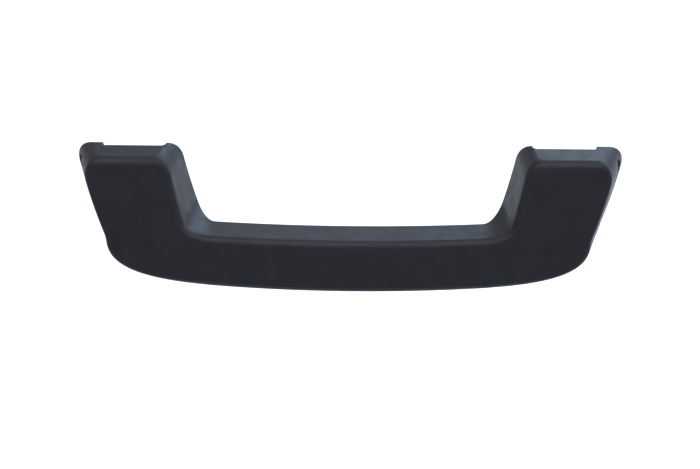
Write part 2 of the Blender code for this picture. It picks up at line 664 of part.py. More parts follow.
def make_bracket(name, side, material):
    bm = bmesh.new()
    corner_z = PLATE_TOP_Z - PLATE_CORNER
    circles = [(side * SCREW_X, 0.0, PLATE_RADIUS),
               (side * (KNUCKLE_INNER_X + PLATE_CORNER), corner_z, PLATE_CORNER),
               (side * (KNUCKLE_OUTER_X - PLATE_CORNER), corner_z, PLATE_CORNER)]
    hull_plate(bm, circles, -PLATE_THICK, 0.0)
    bracket = add_object(name, bm, material)

    webs, knuckles, rounds = bmesh.new(), bmesh.new(), bmesh.new()
    web_outline = [(HINGE_Y + WEB_REACH, HINGE_Z - 0.5 * MM), (-ROOTED, PLATE_TOP_Z - 0.1 * MM),
                   (-ROOTED, WEB_BOTTOM_Z), (HINGE_Y, WEB_BOTTOM_Z), (HINGE_Y, HINGE_Z)]
    for inner_x, outer_x in knuckle_spans(side):
        trim = 0.2 * MM * side
        add_prism(webs, web_outline, inner_x + trim, outer_x - trim)
        add_rod(knuckles, KNUCKLE_RADIUS, (inner_x, HINGE_Y, HINGE_Z), (outer_x, HINGE_Y, HINGE_Z), 36)
    add_rod(rounds, BOSS_OUTER, (side * SCREW_X, BOSS_FRONT_Y, 0), (side * SCREW_X, -ROOTED, 0), 36)
    add_rod(rounds, PEG_RADIUS, (side * PEG_X, -ROOTED, PEG_Z), (side * PEG_X, PEG_LENGTH, PEG_Z), 20)
    boolean(bracket, add_cutter(name + "_webs", webs), "UNION")
    boolean(bracket, add_cutter(name + "_knuckles", knuckles), "UNION")
    boolean(bracket, add_cutter(name + "_boss_and_peg", rounds), "UNION")

    holes = bmesh.new()
    add_rod(holes, KNUCKLE_BORE, (side * (KNUCKLE_INNER_X - CUT_PAST), HINGE_Y, HINGE_Z),
            (side * (KNUCKLE_OUTER_X + CUT_PAST), HINGE_Y, HINGE_Z), 32)
    add_rod(holes, SLEEVE_RADIUS + GAP, (side * SCREW_X, BOSS_FRONT_Y - CUT_PAST, 0),
            (side * SCREW_X, CUT_PAST, 0), 32)
    boolean(bracket, add_cutter(name + "_holes", holes))
    return bracket


def make_bushes(side_name, side, material):
    """Flanged bushes, each flange between a knuckle and an ear."""
    inner_span, outer_span = knuckle_spans(1)
    length = KNUCKLE_WIDTH - GAP
    places = {"inner": (inner_span[0] - GAP, 1), "outer": (outer_span[1] + GAP, -1)}
    for which, (face_x, inward) in places.items():
        profile = [(FLANGE_RADIUS, 0.0), (FLANGE_RADIUS, -FLANGE_THICK), (BUSH_BORE, -FLANGE_THICK),
                   (BUSH_BORE, length), (BUSH_RADIUS, length), (BUSH_RADIUS, 0.0)]
        turned(f"hinge_bush_{side_name}_{which}", profile, (side * face_x, HINGE_Y, HINGE_Z),
               AXIS_X * side * inward, material, 32)


def make_mounting_hardware(side_name, side, steel, zinc, cover_plastic):
    spot = (side * SCREW_X, 0, 0)
    forward = -AXIS_Y
    turned(f"screw_sleeve_{side_name}", tube_profile(SLEEVE_BORE, SLEEVE_RADIUS, 0.0, -BOSS_FRONT_Y),
           spot, forward, steel)
    washer_low = -BOSS_FRONT_Y + GAP
    washer_high = washer_low + WASHER_THICK
    turned(f"screw_washer_{side_name}", tube_profile(SLEEVE_BORE, WASHER_RADIUS, washer_low, washer_high),
           spot, forward, zinc)
    head_low = washer_high + GAP
    head_high = head_low + SCREW_HEAD_TALL
    profile = [(0.0, head_high), (SCREW_HEAD * 0.8, head_high), (SCREW_HEAD, head_high - 1.2 * MM),
               (SCREW_HEAD, head_low), (SCREW_SHANK, head_low), (SCREW_SHANK, -SCREW_TIP_Y + 2 * MM),
               (SCREW_SHANK * 0.6, -SCREW_TIP_Y), (0.0, -SCREW_TIP_Y)]
    screw = turned(f"mounting_screw_{side_name}", profile, spot, forward, zinc, closed=False)
    bm = bmesh.new()
    drive_floor, before_head = -head_high + DRIVE_DEPTH, -head_high - MM
    add_rod(bm, DRIVE_RADIUS, (side * SCREW_X, drive_floor, 0), (side * SCREW_X, before_head, 0), 6)
    boolean(screw, add_cutter(f"drive_{side_name}", bm))

    low, high = PLATE_THICK + GAP, -COVER_FRONT_Y
    inner, bevel = COVER_RADIUS - COVER_WALL, 1.5 * MM
    profile = [(0.0, high), (COVER_RADIUS - bevel, high), (COVER_RADIUS, high - bevel),
               (COVER_RADIUS, low), (inner, low), (inner, high - COVER_WALL), (0.0, high - COVER_WALL)]
    turned(f"screw_cover_{side_name}", profile, spot, forward, cover_plastic, 36, closed=False)


def make_return_spring(material):
    """A torsion spring: a coil round the left pin, one leg on the bracket, one on the handle."""
    coil_middle = -(KNUCKLE_INNER_X + KNUCKLE_OUTER_X) / 2
    start_x = coil_middle - SPRING_PITCH * COIL_TURNS / 2
    points = [Vector((start_x, BRACKET_LEG_Y, BRACKET_LEG_Z))]
    for i in range(round(COIL_TURNS * COIL_STEPS) + 1):
        angle = 2 * math.pi * i / COIL_STEPS
        y, z = HINGE_Y + COIL_RADIUS * math.cos(angle), HINGE_Z + COIL_RADIUS * math.sin(angle)
        points.append(Vector((start_x + SPRING_PITCH * i / COIL_STEPS, y, z)))
    points.append(Vector((points[-1].x, HANDLE_LEG_Y, HANDLE_LEG_Z)))
    curve = bpy.data.curves.new("return_spring", "CURVE")
    curve.dimensions = "3D"
    curve.bevel_depth = WIRE_RADIUS
    curve.bevel_resolution = 2
    curve.use_fill_caps = True
    spline = curve.splines.new("POLY")
    spline.points.add(len(points) - 1)
    for point, place in zip(spline.points, points):
        point.co = (*place, 1.0)
    curve.materials.append(material)
    spring = bpy.data.objects.new("return_spring", curve)
    PARTS.objects.link(spring)
    return spring


def make_damper(housing_plastic, rubber):
    """The fixed half of the damper: a cup with a keyed tab, a cap ring and an O-ring."""
    cup_end = DAMPER_OUTER_X - DAMPER_CAP_THICK - GAP
    floor = DAMPER_INNER_X + DAMPER_FLOOR
    profile = [(DAMPER_RADIUS, cup_end), (DAMPER_RADIUS, DAMPER_INNER_X), (DAMPER_HOLE, DAMPER_INNER_X),
               (DAMPER_HOLE, floor), (DAMPER_CHAMBER, floor), (DAMPER_CHAMBER, cup_end)]
    axis_spot = (0, HINGE_Y, HINGE_Z)
    housing = turned("damper_housing", profile, axis_spot, AXIS_X, housing_plastic, 36)
    bm = bmesh.new()
    tab_back, tab_front = -PLATE_THICK - GAP, HINGE_Y + DAMPER_TAB_REACH
    tab_low, tab_high = WEB_BOTTOM_Z, HINGE_Z - 0.6 * MM
    add_block(bm, ((floor + cup_end) / 2, (tab_back + tab_front) / 2, (tab_low + tab_high) / 2),
              (DAMPER_TAB_LENGTH, tab_back - tab_front, tab_high - tab_low))
    boolean(housing, add_cutter("damper_tab", bm), "UNION")
    cap = tube_profile(DAMPER_HOLE, DAMPER_RADIUS, DAMPER_OUTER_X - DAMPER_CAP_THICK, DAMPER_OUTER_X)
    turned("damper_cap", cap, axis_spot, AXIS_X, housing_plastic, 36)
    seal_x = cup_end - SEAL_MINOR - GAP
    ring = [(SEAL_MAJOR + SEAL_MINOR * math.cos(a), seal_x - SEAL_MINOR * math.sin(a))
            for a in (2 * math.pi * i / 8 for i in range(8))]
    turned("damper_seal", ring, axis_spot, AXIS_X, rubber, 28)


# ------------------------------------------------------------------ assembly

def parent_to(empty, obj):
    obj.parent = empty
    obj.matrix_parent_inverse = empty.matrix_world.inverted()


def make_pivot(pieces):
    """An empty on the hinge axis, which every swinging piece is parented to."""
    pivot = bpy.data.objects.new("handle_pivot", None)
    pivot.location = (0, HINGE_Y, HINGE_Z)
    PARTS.objects.link(pivot)
    bpy.context.view_layer.update()
    for piece in pieces:
        parent_to(pivot, piece)


def build():
    shell_plastic = make_material("shell_plastic", (0.022, 0.023, 0.027), 0.55)
    rear_plastic = make_material("rear_plastic", (0.020, 0.021, 0.024), 0.60)
    bracket_plastic = make_material("bracket_plastic", (0.030, 0.030, 0.032), 0.50)
    cover_plastic = make_material("cover_plastic", (0.026, 0.026, 0.029), 0.50)
    bush_plastic = make_material("bush_plastic", (0.62, 0.60, 0.54), 0.45)
    damper_plastic = make_material("damper_plastic", (0.55, 0.53, 0.48), 0.45)
    rubber = make_material("rubber", (0.016, 0.016, 0.016), 0.80)
    steel = make_material("pin_steel", (0.56, 0.56, 0.57), 0.28, 1.0)
    sheet_steel = make_material("sheet_steel", (0.42, 0.42, 0.43), 0.42, 1.0)
    spring_steel = make_material("spring_steel", (0.30, 0.30, 0.31), 0.35, 1.0)
    zinc = make_material("zinc_plate", (0.60, 0.61, 0.62), 0.32, 1.0)

    swinging = [make_front_shell(shell_plastic), make_rear_shell(rear_plastic),
                make_grip_core(sheet_steel), make_damper_rotor(bush_plastic)]
    for number, (x, z) in enumerate(SHELL_SCREWS, 1):
        swinging.append(make_shell_screw(f"shell_screw_{number}", x, z, zinc))
    for side_name, side in (("left", -1), ("right", 1)):
        swinging.append(make_bumper_pad(f"bumper_pad_{side_name}", side * PAD_X, rubber))
        swinging.append(make_hinge_pin(f"hinge_pin_{side_name}", side, steel))
        make_bracket(f"bracket_{side_name}", side, bracket_plastic)
        make_bushes(side_name, side, bush_plastic)
        make_mounting_hardware(side_name, side, sheet_steel, zinc, cover_plastic)
    make_return_spring(spring_steel)
    make_damper(damper_plastic, rubber)
    make_pivot(swinging)


clear_scene()
PARTS = new_collection("assist_handle")
CUTTERS = new_collection("cutters")
build()
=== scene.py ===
"""Looks of the fold-down assist handle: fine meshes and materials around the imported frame.

Lengths are in metres in the frame's own axes: X runs along the handle, +Z is up, the cabin is on -Y.
The right half of each moulding is described, and the left half mirrors it.
"""
import json
import math
from collections import namedtuple

import bmesh
import bpy
from mathutils import Matrix, Vector


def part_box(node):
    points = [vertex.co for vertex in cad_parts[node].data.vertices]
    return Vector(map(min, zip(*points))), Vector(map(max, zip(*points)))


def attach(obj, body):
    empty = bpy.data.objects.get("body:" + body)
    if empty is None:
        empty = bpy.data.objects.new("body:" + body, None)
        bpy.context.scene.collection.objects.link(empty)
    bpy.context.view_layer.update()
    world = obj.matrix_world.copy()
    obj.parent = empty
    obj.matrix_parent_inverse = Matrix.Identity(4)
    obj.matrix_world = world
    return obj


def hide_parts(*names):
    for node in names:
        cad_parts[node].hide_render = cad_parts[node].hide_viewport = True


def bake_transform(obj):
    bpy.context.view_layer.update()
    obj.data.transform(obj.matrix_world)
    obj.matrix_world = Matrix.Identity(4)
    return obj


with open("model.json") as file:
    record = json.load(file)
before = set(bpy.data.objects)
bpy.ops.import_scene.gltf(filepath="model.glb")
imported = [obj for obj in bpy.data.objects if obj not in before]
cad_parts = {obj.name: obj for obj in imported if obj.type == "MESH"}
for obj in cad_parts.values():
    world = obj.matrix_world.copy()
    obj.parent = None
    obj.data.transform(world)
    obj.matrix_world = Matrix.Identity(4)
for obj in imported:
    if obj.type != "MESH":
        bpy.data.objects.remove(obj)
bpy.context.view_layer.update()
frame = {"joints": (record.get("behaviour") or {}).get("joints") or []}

MM = 0.001
TINY = 0.01 * MM
GAP = 0.3 * MM
SHARP_ANGLE = math.radians(35.0)
AXIS_X, AXIS_Y, AXIS_Z = Vector((1, 0, 0)), Vector((0, 1, 0)), Vector((0, 0, 1))

# Places read from the frame
HINGE = Vector(frame["joints"][0]["pos_m"])
PIN_LINE = (0, HINGE.y, HINGE.z)
SHELL_LOW, SHELL_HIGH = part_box("handle_front_shell")
REAR_LOW, REAR_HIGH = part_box("handle_rear_shell")
TOP_Z = SHELL_HIGH.z
EAR_RADIUS = TOP_Z - HINGE.z
SCREW_SPOTS = {side: sum(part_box(f"mounting_screw_{side}"), Vector()) / 2 for side in ("left", "right")}
SHELL_SCREW_SPOTS = [sum(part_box(f"shell_screw_{i}"), Vector()) / 2 for i in range(1, 5)]

# Front moulding: the same driving sizes as the CAD shell
SIDE_REF_Z = 16.0 * MM
ARM_INNER_X, ARM_INNER_LEAN, ARM_INNER_BOW = 71.5 * MM, 0.21, 1.9
ARM_OUTER_X, ARM_OUTER_LEAN, ARM_OUTER_BOW = 117.6 * MM, 0.19, 2.6
ARM_INNER_DRAFT, ARM_OUTER_DRAFT = 0.13, 0.26
ARM_FAN = 15.0
ARM_BACK_Y = HINGE.y + EAR_RADIUS
TOP_FRONT_END = (3.2 * MM, 3.2 * MM)
EAR_OUTER_END = (10.7 * MM, 10.5 * MM)
EAR_INNER_END = (6.0 * MM, 8.5 * MM)
GRIP_TOP_Z, GRIP_TOP_ARC = -12.2 * MM, 1050.0 * MM
GRIP_BOTTOM_Z, GRIP_BOTTOM_ARC = SHELL_LOW.z, 850.0 * MM
GRIP_BACK_Y = -14.0 * MM
INNER_CORNER_Z, INNER_CORNER_X = -4.5 * MM, 57.5 * MM
OUTER_CORNER_Z, OUTER_CORNER_X = -16.5 * MM, 62.0 * MM
INNER_CORNER_PULL = (0.60, 0.60)
OUTER_CORNER_PULL = (0.66, 0.73)
ARM_FRONT_Y, ARM_RAKE = -28.7 * MM, 0.144
CREASE_Z, GRIP_RAKE, GRIP_PLAN_ARC = -17.6 * MM, 0.09, 2800.0 * MM
CREASE_SOFT, CREASE_FADE = 0.10 * MM, 1.7 * MM
CREASE_FADE_FROM, CREASE_FADE_TO = 72.0 * MM, 104.0 * MM
ARM_INNER_EDGE, ARM_OUTER_EDGE = 3.4 * MM, 2.0 * MM
GRIP_TOP_EDGE, GRIP_BOTTOM_EDGE = 2.8 * MM, 3.5 * MM
ARM_BACK_EDGE, GRIP_BACK_EDGE = 1.2 * MM, 3.5 * MM
WALL = 2.5 * MM
LIP = 0.4 * MM
FLOOR_FILLET = 1.6 * MM
POCKET_TOP_Z = 5.4 * MM
RECESS_BLEND = 1.0 * MM
RECESS_INNER_X, RECESS_OUTER_X = 78.3 * MM, 105.5 * MM
RECESS_EDGE_Y = HINGE.y - 1.25 * MM
ROOF_Z, ROOF_DRAFT = HINGE.z + 5.8 * MM, 0.12 * MM
ROOF_ROUND = 0.5 * MM
RECESS_WALL = 3.0 * MM
POCKET_FAN_END, CAVITY_FAN_START, WEB_BLEND = 0.24, 0.32, 0.012
PIN_CLEARANCE = 2.8 * MM
PIN_HOLE_START_X, PIN_HOLE_END_X = 74.6 * MM, 125.0 * MM
THROUGH = 8.0 * MM

# Rear moulding, its screws and the steel channel
REAR_BACK_Y, SEAT_FRONT_Y = REAR_HIGH.y, REAR_LOW.y
REAR_THICK = 2.5 * MM
REAR_GAP = 0.45 * MM
REAR_FAN_START = 0.35
BOSS_RADIUS, BOSS_TOP_Y, BOSS_BORE_END_Y = 3.6 * MM, -20.1 * MM, -29.0 * MM
SEAT_RADIUS, COUNTERBORE_RADIUS = 4.8 * MM, 3.7 * MM
COUNTERBORE_FLOOR_Y = -17.5 * MM
SHELL_SCREW_SHANK = 1.4 * MM
SHELL_SCREW_HOLE = SHELL_SCREW_SHANK + GAP
CORE_SHEET = 1.2 * MM

# Brackets and what they carry
KNUCKLE_INNER_X, KNUCKLE_OUTER_X = RECESS_INNER_X + 1.4 * MM, RECESS_OUTER_X - 1.4 * MM
KNUCKLE_RADIUS, KNUCKLE_BORE, KNUCKLE_WIDTH = 5.4 * MM, 3.95 * MM, 6.0 * MM
PLATE_THICK, PLATE_RADIUS, PLATE_CORNER = 6.0 * MM, 10.5 * MM, 2.0 * MM
PLATE_TOP_Z = HINGE.z - 2.0 * MM
BRACKET_BOSS_RADIUS, BRACKET_BOSS_Y = 8.0 * MM, -9.0 * MM
WEB_BOTTOM_Z, WEB_REACH, ROOTED = 10.3 * MM, 5.0 * MM, 1.0 * MM
PEG_X, PEG_Z, PEG_RADIUS, PEG_LENGTH = 81.5 * MM, 8.5 * MM, 1.8 * MM, 4.0 * MM
SLEEVE_BORE, SLEEVE_RADIUS, WASHER_RADIUS = 3.3 * MM, 4.5 * MM, 7.0 * MM
SCREW_SHANK = 3.0 * MM
COIL_RADIUS, WIRE_RADIUS, SPRING_PITCH, COIL_TURNS = 3.85 * MM, 0.7 * MM, 1.62 * MM, 6.5
BRACKET_LEG = (-7.65 * MM, 9.0 * MM)
HANDLE_LEG = (-27.6 * MM, 2.0 * MM)
DAMPER_RADIUS, DAMPER_CHAMBER, DAMPER_HOLE = 5.2 * MM, 4.3 * MM, 3.6 * MM

# A section runs from an arm's inner side to its outer one, or from the grip's top to its bottom.
# A notch is what is hollowed out of a section from behind.
Section = namedtuple("Section", "inner outer edge_inner edge_outer draft_inner draft_outer "
                     "back_y back_edge front_inset")
Notch = namedtuple("Notch", "inner outer depth recess lip")


# ------------------------------------------------------------------ outline of the handle

def smooth(low, high, value):
    t = min(max((value - low) / (high - low), 0.0), 1.0)
    return t * t * (3 - 2 * t)


def mix(a, b, t):
    return a + (b - a) * t


def side_x(start, lean, bow, z):
    """An arm's side line: leaning, and bowed below the height where its start is given."""
    drop = SIDE_REF_Z - z
    return start - lean * drop - bow * drop ** 2


def arm_inner_x(z):
    return side_x(ARM_INNER_X, ARM_INNER_LEAN, ARM_INNER_BOW, z)


def arm_outer_x(z):
    return side_x(ARM_OUTER_X, ARM_OUTER_LEAN, ARM_OUTER_BOW, z)


def grip_top(x):
    return GRIP_TOP_Z + x ** 2 / (2 * GRIP_TOP_ARC)


def grip_bottom(x):
    return GRIP_BOTTOM_Z + x ** 2 / (2 * GRIP_BOTTOM_ARC)


def arm_face_y(z):
    return ARM_FRONT_Y - ARM_RAKE * (TOP_Z - z)


def front_y(x, z):
    """The arm face and the grip face, joined by a crease that fades out towards the arms' outer sides."""
    arm = arm_face_y(z)
    grip = arm_face_y(CREASE_Z) + x ** 2 / (2 * GRIP_PLAN_ARC) + GRIP_RAKE * (CREASE_Z - z)
    soft = CREASE_SOFT + CREASE_FADE * smooth(CREASE_FADE_FROM, CREASE_FADE_TO, abs(x))
    share = min(max(0.5 + 0.5 * (arm - grip) / soft, 0.0), 1.0)
    return mix(grip, arm, share) + soft * share * (1 - share)


def crease_z(x):
    return CREASE_Z + x ** 2 / (2 * GRIP_PLAN_ARC) / (ARM_RAKE + GRIP_RAKE)


def bezier(points, t):
    a, b, c, d = points
    s = 1.0 - t
    return a * s ** 3 + b * 3 * s ** 2 * t + c * 3 * s * t ** 2 + d * t ** 3


def corner_curve(start, start_slope, end, end_slope, pull):
    """Cubic corner from an arm side (slope dx/dz) to a long arc (slope dz/dx)."""
    height = (end.y - start.y + end_slope * (start.x - end.x)) / (1 - end_slope * start_slope)
    meet = Vector((start.x + start_slope * height, start.y + height))
    return (start, start.lerp(meet, pull[0]), end.lerp(meet, pull[1]), end)


def side_slope(lean, bow, z):
    return lean + 2 * bow * (SIDE_REF_Z - z)


def inner_corner():
    start = Vector((arm_inner_x(INNER_CORNER_Z), INNER_CORNER_Z))
    end = Vector((INNER_CORNER_X, grip_top(INNER_CORNER_X)))
    return corner_curve(start, side_slope(ARM_INNER_LEAN, ARM_INNER_BOW, INNER_CORNER_Z),
                        end, INNER_CORNER_X / GRIP_TOP_ARC, INNER_CORNER_PULL)


def outer_corner():
    start = Vector((arm_outer_x(OUTER_CORNER_Z), OUTER_CORNER_Z))
    end = Vector((OUTER_CORNER_X, grip_bottom(OUTER_CORNER_X)))
    return corner_curve(start, side_slope(ARM_OUTER_LEAN, ARM_OUTER_BOW, OUTER_CORNER_Z),
                        end, OUTER_CORNER_X / GRIP_BOTTOM_ARC, OUTER_CORNER_PULL)


def end_inset(z, end):
    reach, rise = end
    climb = min(max(0.0, z - (TOP_Z - rise)), rise) / rise
    return reach * (1 - math.sqrt(1 - climb ** 2))


def fanned(z):
    return z - ARM_FAN * max(0.0, HINGE.z - z) ** 2


def arm_section(z):
    outer_z = fanned(z)
    back = HINGE.y + math.sqrt(max(0.0, EAR_RADIUS ** 2 - max(0.0, z - HINGE.z) ** 2))
    return Section(
        Vector((arm_inner_x(z) + end_inset(z, EAR_INNER_END), z)),
        Vector((arm_outer_x(outer_z) - end_inset(z, EAR_OUTER_END), outer_z)),
        ARM_INNER_EDGE, ARM_OUTER_EDGE, ARM_INNER_DRAFT, ARM_OUTER_DRAFT,
        back, ARM_BACK_EDGE, end_inset(z, TOP_FRONT_END))


def fan_outer(t):
    on_side, on_corner = 0.2, 0.9
    if t < on_side:
        start_z = fanned(INNER_CORNER_Z)
        z = start_z + (OUTER_CORNER_Z - start_z) * t / on_side
        return Vector((arm_outer_x(z), z))
    if t < on_corner:
        return bezier(outer_corner(), (t - on_side) / (on_corner - on_side))
    x = OUTER_CORNER_X + (INNER_CORNER_X - OUTER_CORNER_X) * (t - on_corner) / (1 - on_corner)
    return Vector((x, grip_bottom(x)))


def fan_section(t):
    ease = smooth(0.0, 1.0, t)
    return Section(
        bezier(inner_corner(), t), fan_outer(t),
        mix(ARM_INNER_EDGE, GRIP_TOP_EDGE, ease), mix(ARM_OUTER_EDGE, GRIP_BOTTOM_EDGE, ease),
        ARM_INNER_DRAFT * (1 - ease), ARM_OUTER_DRAFT * (1 - ease),
        mix(ARM_BACK_Y, GRIP_BACK_Y, ease), mix(ARM_BACK_EDGE, GRIP_BACK_EDGE, ease), 0.0)


def grip_section(x):
    return Section(Vector((x, grip_top(x))), Vector((x, grip_bottom(x))),
                   GRIP_TOP_EDGE, GRIP_BOTTOM_EDGE, 0.0, 0.0, GRIP_BACK_Y, GRIP_BACK_EDGE, 0.0)


def section_point(section, u, y):
    """A point of a section: u is the distance from its inner end."""
    spot = section.inner + (section.outer - section.inner).normalized() * u
    return Vector((spot.x, y, spot.y))


def front_point(section, u, lift=0.0):
    spot = section_point(section, u, 0.0)
    spot.y = front_y(spot.x, spot.z) + section.front_inset + lift
    return spot


def side_limits(section, y):
    """Where the drafted side walls stand at a depth y, as distances from the inner end."""
    width = (section.outer - section.inner).length
    ahead = section.back_y - y
    return section.draft_inner * ahead, width - section.draft_outer * ahead


def front_limits(section):
    """Where the side walls meet the rounded front edges."""
    width = (section.outer - section.inner).length
    near, _ = side_limits(section, front_point(section, 0.0).y + section.edge_inner)
    _, far = side_limits(section, front_point(section, width).y + section.edge_outer)
    return near, far


def crease_distance(section):
    """Where a section crosses the crease, kept between its rounded edges."""
    near, far = front_limits(section)
    clear_of_edge, halvings = 1.4, 24
    near += section.edge_inner * clear_of_edge
    far -= section.edge_outer * clear_of_edge
    low, high = near, far
    for _ in range(halvings):
        middle = (near + far) / 2
        spot = section_point(section, middle, 0.0)
        if spot.z > crease_z(spot.x):
            near = middle
        else:
            far = middle
    return min(max(near, low), high)


def arc_steps(count):
    """Angles from 0 to a right angle, both included."""
    return [math.pi / 2 * i / count for i in range(count + 1)]


def turn_steps(count):
    """Angles once round, evenly spaced."""
    return [2 * math.pi * i / count for i in range(count)]


def spread(start, end, count):
    """Count values from start to end, both included."""
    return [start + (end - start) * i / (count - 1) for i in range(count)]


# ------------------------------------------------------------------ mesh helpers

def mesh_from(name, bm):
    mesh = bpy.data.meshes.new(name)
    bm.to_mesh(mesh)
    bm.free()
    return mesh


def link_object(name, data):
    obj = bpy.data.objects.new(name, data)
    bpy.context.scene.collection.objects.link(obj)
    return obj


def finish_mesh(obj):
    """Smooth shading with sharp edges kept, and normals that follow the larger faces."""
    obj.data.shade_smooth()
    obj.data.set_sharp_from_angle(angle=SHARP_ANGLE)
    obj.modifiers.new("normals", "WEIGHTED_NORMAL").keep_sharp = True


def add_piece(name, bm):
    bmesh.ops.recalc_face_normals(bm, faces=bm.faces)
    obj = link_object(name, mesh_from(name, bm))
    finish_mesh(obj)
    return obj


def bridge(bm, a, b):
    """Faces between two rings of vertices, one of which may be a single point."""
    count = max(len(a), len(b))
    for i in range(count):
        j = (i + 1) % count
        if len(a) == 1:
            bm.faces.new((a[0], b[j], b[i]))
        elif len(b) == 1:
            bm.faces.new((a[i], a[j], b[0]))
        else:
            bm.faces.new((a[i], a[j], b[j], b[i]))


def add_loft(bm, rings):
    """A capped solid through rings of equal point counts."""
    loops = [[bm.verts.new(p) for p in ring] for ring in rings]
    for a, b in zip(loops, loops[1:]):
        bridge(bm, a, b)
    bm.faces.new(loops[0][::-1])
    bm.faces.new(loops[-1])


def add_whole_loft(bm, rings):
    """A loft through the right half's rings, from its end to the middle, and their mirror images."""
    mirrored = [[Vector((-p.x, p.y, p.z)) for p in ring] for ring in rings[-2::-1]]
    add_loft(bm, rings + mirrored)


def add_turned(bm, profile, origin, direction, segments=72):
    """A profile of (radius, height) points turned about an axis. A radius of 0 closes it there.

    A radius may also be a function of the angle, which is how threads are made.
    """
    turn = AXIS_Z.rotation_difference(direction).to_matrix()
    rings = []
    for radius, height in profile:
        spots = [Vector((0, 0, height))]
        if radius != 0.0:
            reaches = [(radius(a) if callable(radius) else radius, a) for a in turn_steps(segments)]
            spots = [Vector((reach * math.cos(a), reach * math.sin(a), height)) for reach, a in reaches]
        rings.append([bm.verts.new(Vector(origin) + turn @ spot) for spot in spots])
    if len(rings[0]) > 1:
        rings.append(rings[0])
    for a, b in zip(rings, rings[1:]):
        bridge(bm, a, b)


def turned(name, profile, origin, direction, segments=72):
    bm = bmesh.new()
    add_turned(bm, profile, origin, direction, segments)
    return add_piece(name, bm)


def band(inner, outer, low, high):
    """Corners of the profile of a ring, or of a solid cylinder when the inner radius is 0."""
    return [(inner, low), (outer, low), (outer, high), (inner, high)]


def rounded(corners, radii, steps=4, closed=True):
    """A profile with its corners rounded: one radius for each corner, 0 for a sharp one."""
    points, count = [], len(corners)
    for i, (corner, radius) in enumerate(zip(corners, radii)):
        here = Vector(corner)
        before, after = Vector(corners[i - 1]), Vector(corners[(i + 1) % count])
        end_point = not closed and i in (0, count - 1)
        if radius <= 0.0 or end_point:
            points.append(tuple(here))
            continue
        start = here + (before - here).normalized() * radius
        end = here + (after - here).normalized() * radius
        for k in range(steps + 1):
            t = k / steps
            points.append(tuple(start * (1 - t) ** 2 + here * 2 * t * (1 - t) + end * t ** 2))
    return points


def cut(obj, bm, operation="DIFFERENCE"):
    """Apply a Boolean with a throwaway operand, and keep the result as the piece's own mesh."""
    bmesh.ops.recalc_face_normals(bm, faces=bm.faces)
    operand = link_object("operand", mesh_from("operand", bm))
    obj.modifiers.clear()
    modifier = obj.modifiers.new("cut", "BOOLEAN")
    modifier.operation, modifier.object, modifier.solver = operation, operand, "EXACT"
    bpy.context.view_layer.update()
    shaped = bpy.data.meshes.new_from_object(obj.evaluated_get(bpy.context.evaluated_depsgraph_get()))
    obj.modifiers.clear()
    spent = [obj.data, operand.data]
    obj.data = shaped
    bpy.data.objects.remove(operand)
    for mesh in spent:
        bpy.data.meshes.remove(mesh)
    shaped.name = obj.name
    finish_mesh(obj)


def add_cylinder(bm, radius, start, end, segments=48):
    axis = Vector(end) - Vector(start)
    add_turned(bm, band(0.0, radius, 0.0, axis.length), start, axis.normalized(), segments)


def add_rounded_block(bm, low, high, radius, steps=3):
    """A box with its edges rounded."""
    part = bmesh.new()
    middle, size = (Vector(low) + Vector(high)) / 2, Vector(high) - Vector(low)
    bmesh.ops.create_cube(part, size=1.0, matrix=Matrix.Translation(middle) @ Matrix.Diagonal((*size, 1)))
    bmesh.ops.bevel(part, geom=part.edges[:], offset=radius, segments=steps, profile=0.5, affect="EDGES")
    mesh = mesh_from("block", part)
    bm.from_mesh(mesh)
    bpy.data.meshes.remove(mesh)


# ------------------------------------------------------------------ front moulding

def recess_floor_y(z):
    """Front wall of the recess between two ears, its roof and the rounded edge above it."""
    wall = arm_face_y(z) + RECESS_WALL
    roof_low = ROOF_Z - ROOF_DRAFT
    wall_top = arm_face_y(roof_low) + RECESS_WALL
    edge_low = RECESS_EDGE_Y - ROOF_ROUND
    if z >= ROOF_Z + ROOF_ROUND:
        return RECESS_EDGE_Y
    if z >= ROOF_Z:
        return edge_low + math.sqrt(max(0.0, ROOF_ROUND ** 2 - (ROOF_Z + ROOF_ROUND - z) ** 2))
    if z >= roof_low:
        return mix(wall_top + ROOF_ROUND, edge_low, (z - roof_low) / ROOF_DRAFT)
    if z >= roof_low - ROOF_ROUND:
        drop = 1 - (roof_low - z) / ROOF_ROUND
        return wall + ROOF_ROUND * (1 - math.sqrt(1 - drop ** 2))
    return wall


def arm_notch(section, z):
    """What is hollowed out of an arm section: the recess between the ears, then the pocket."""
    along = (section.outer - section.inner).normalized()
    recess = smooth(POCKET_TOP_Z, POCKET_TOP_Z + RECESS_BLEND, z)
    lip = end_inset(z, (LIP, LIP))
    return Notch(mix(WALL, (RECESS_INNER_X - section.inner.x) / along.x, recess) - lip,
                 mix(WALL, (section.outer.x - RECESS_OUTER_X) / along.x, recess) - lip,
                 1.0, recess, lip)


def fan_notch(t):
    """The pocket ends at a web, and the hollow of the grip starts behind it."""
    pocket = 1 - smooth(POCKET_FAN_END - WEB_BLEND, POCKET_FAN_END, t)
    cavity = smooth(CAVITY_FAN_START, CAVITY_FAN_START + WEB_BLEND, t)
    return Notch(WALL, WALL, max(pocket, cavity), 0.0, 0.0)


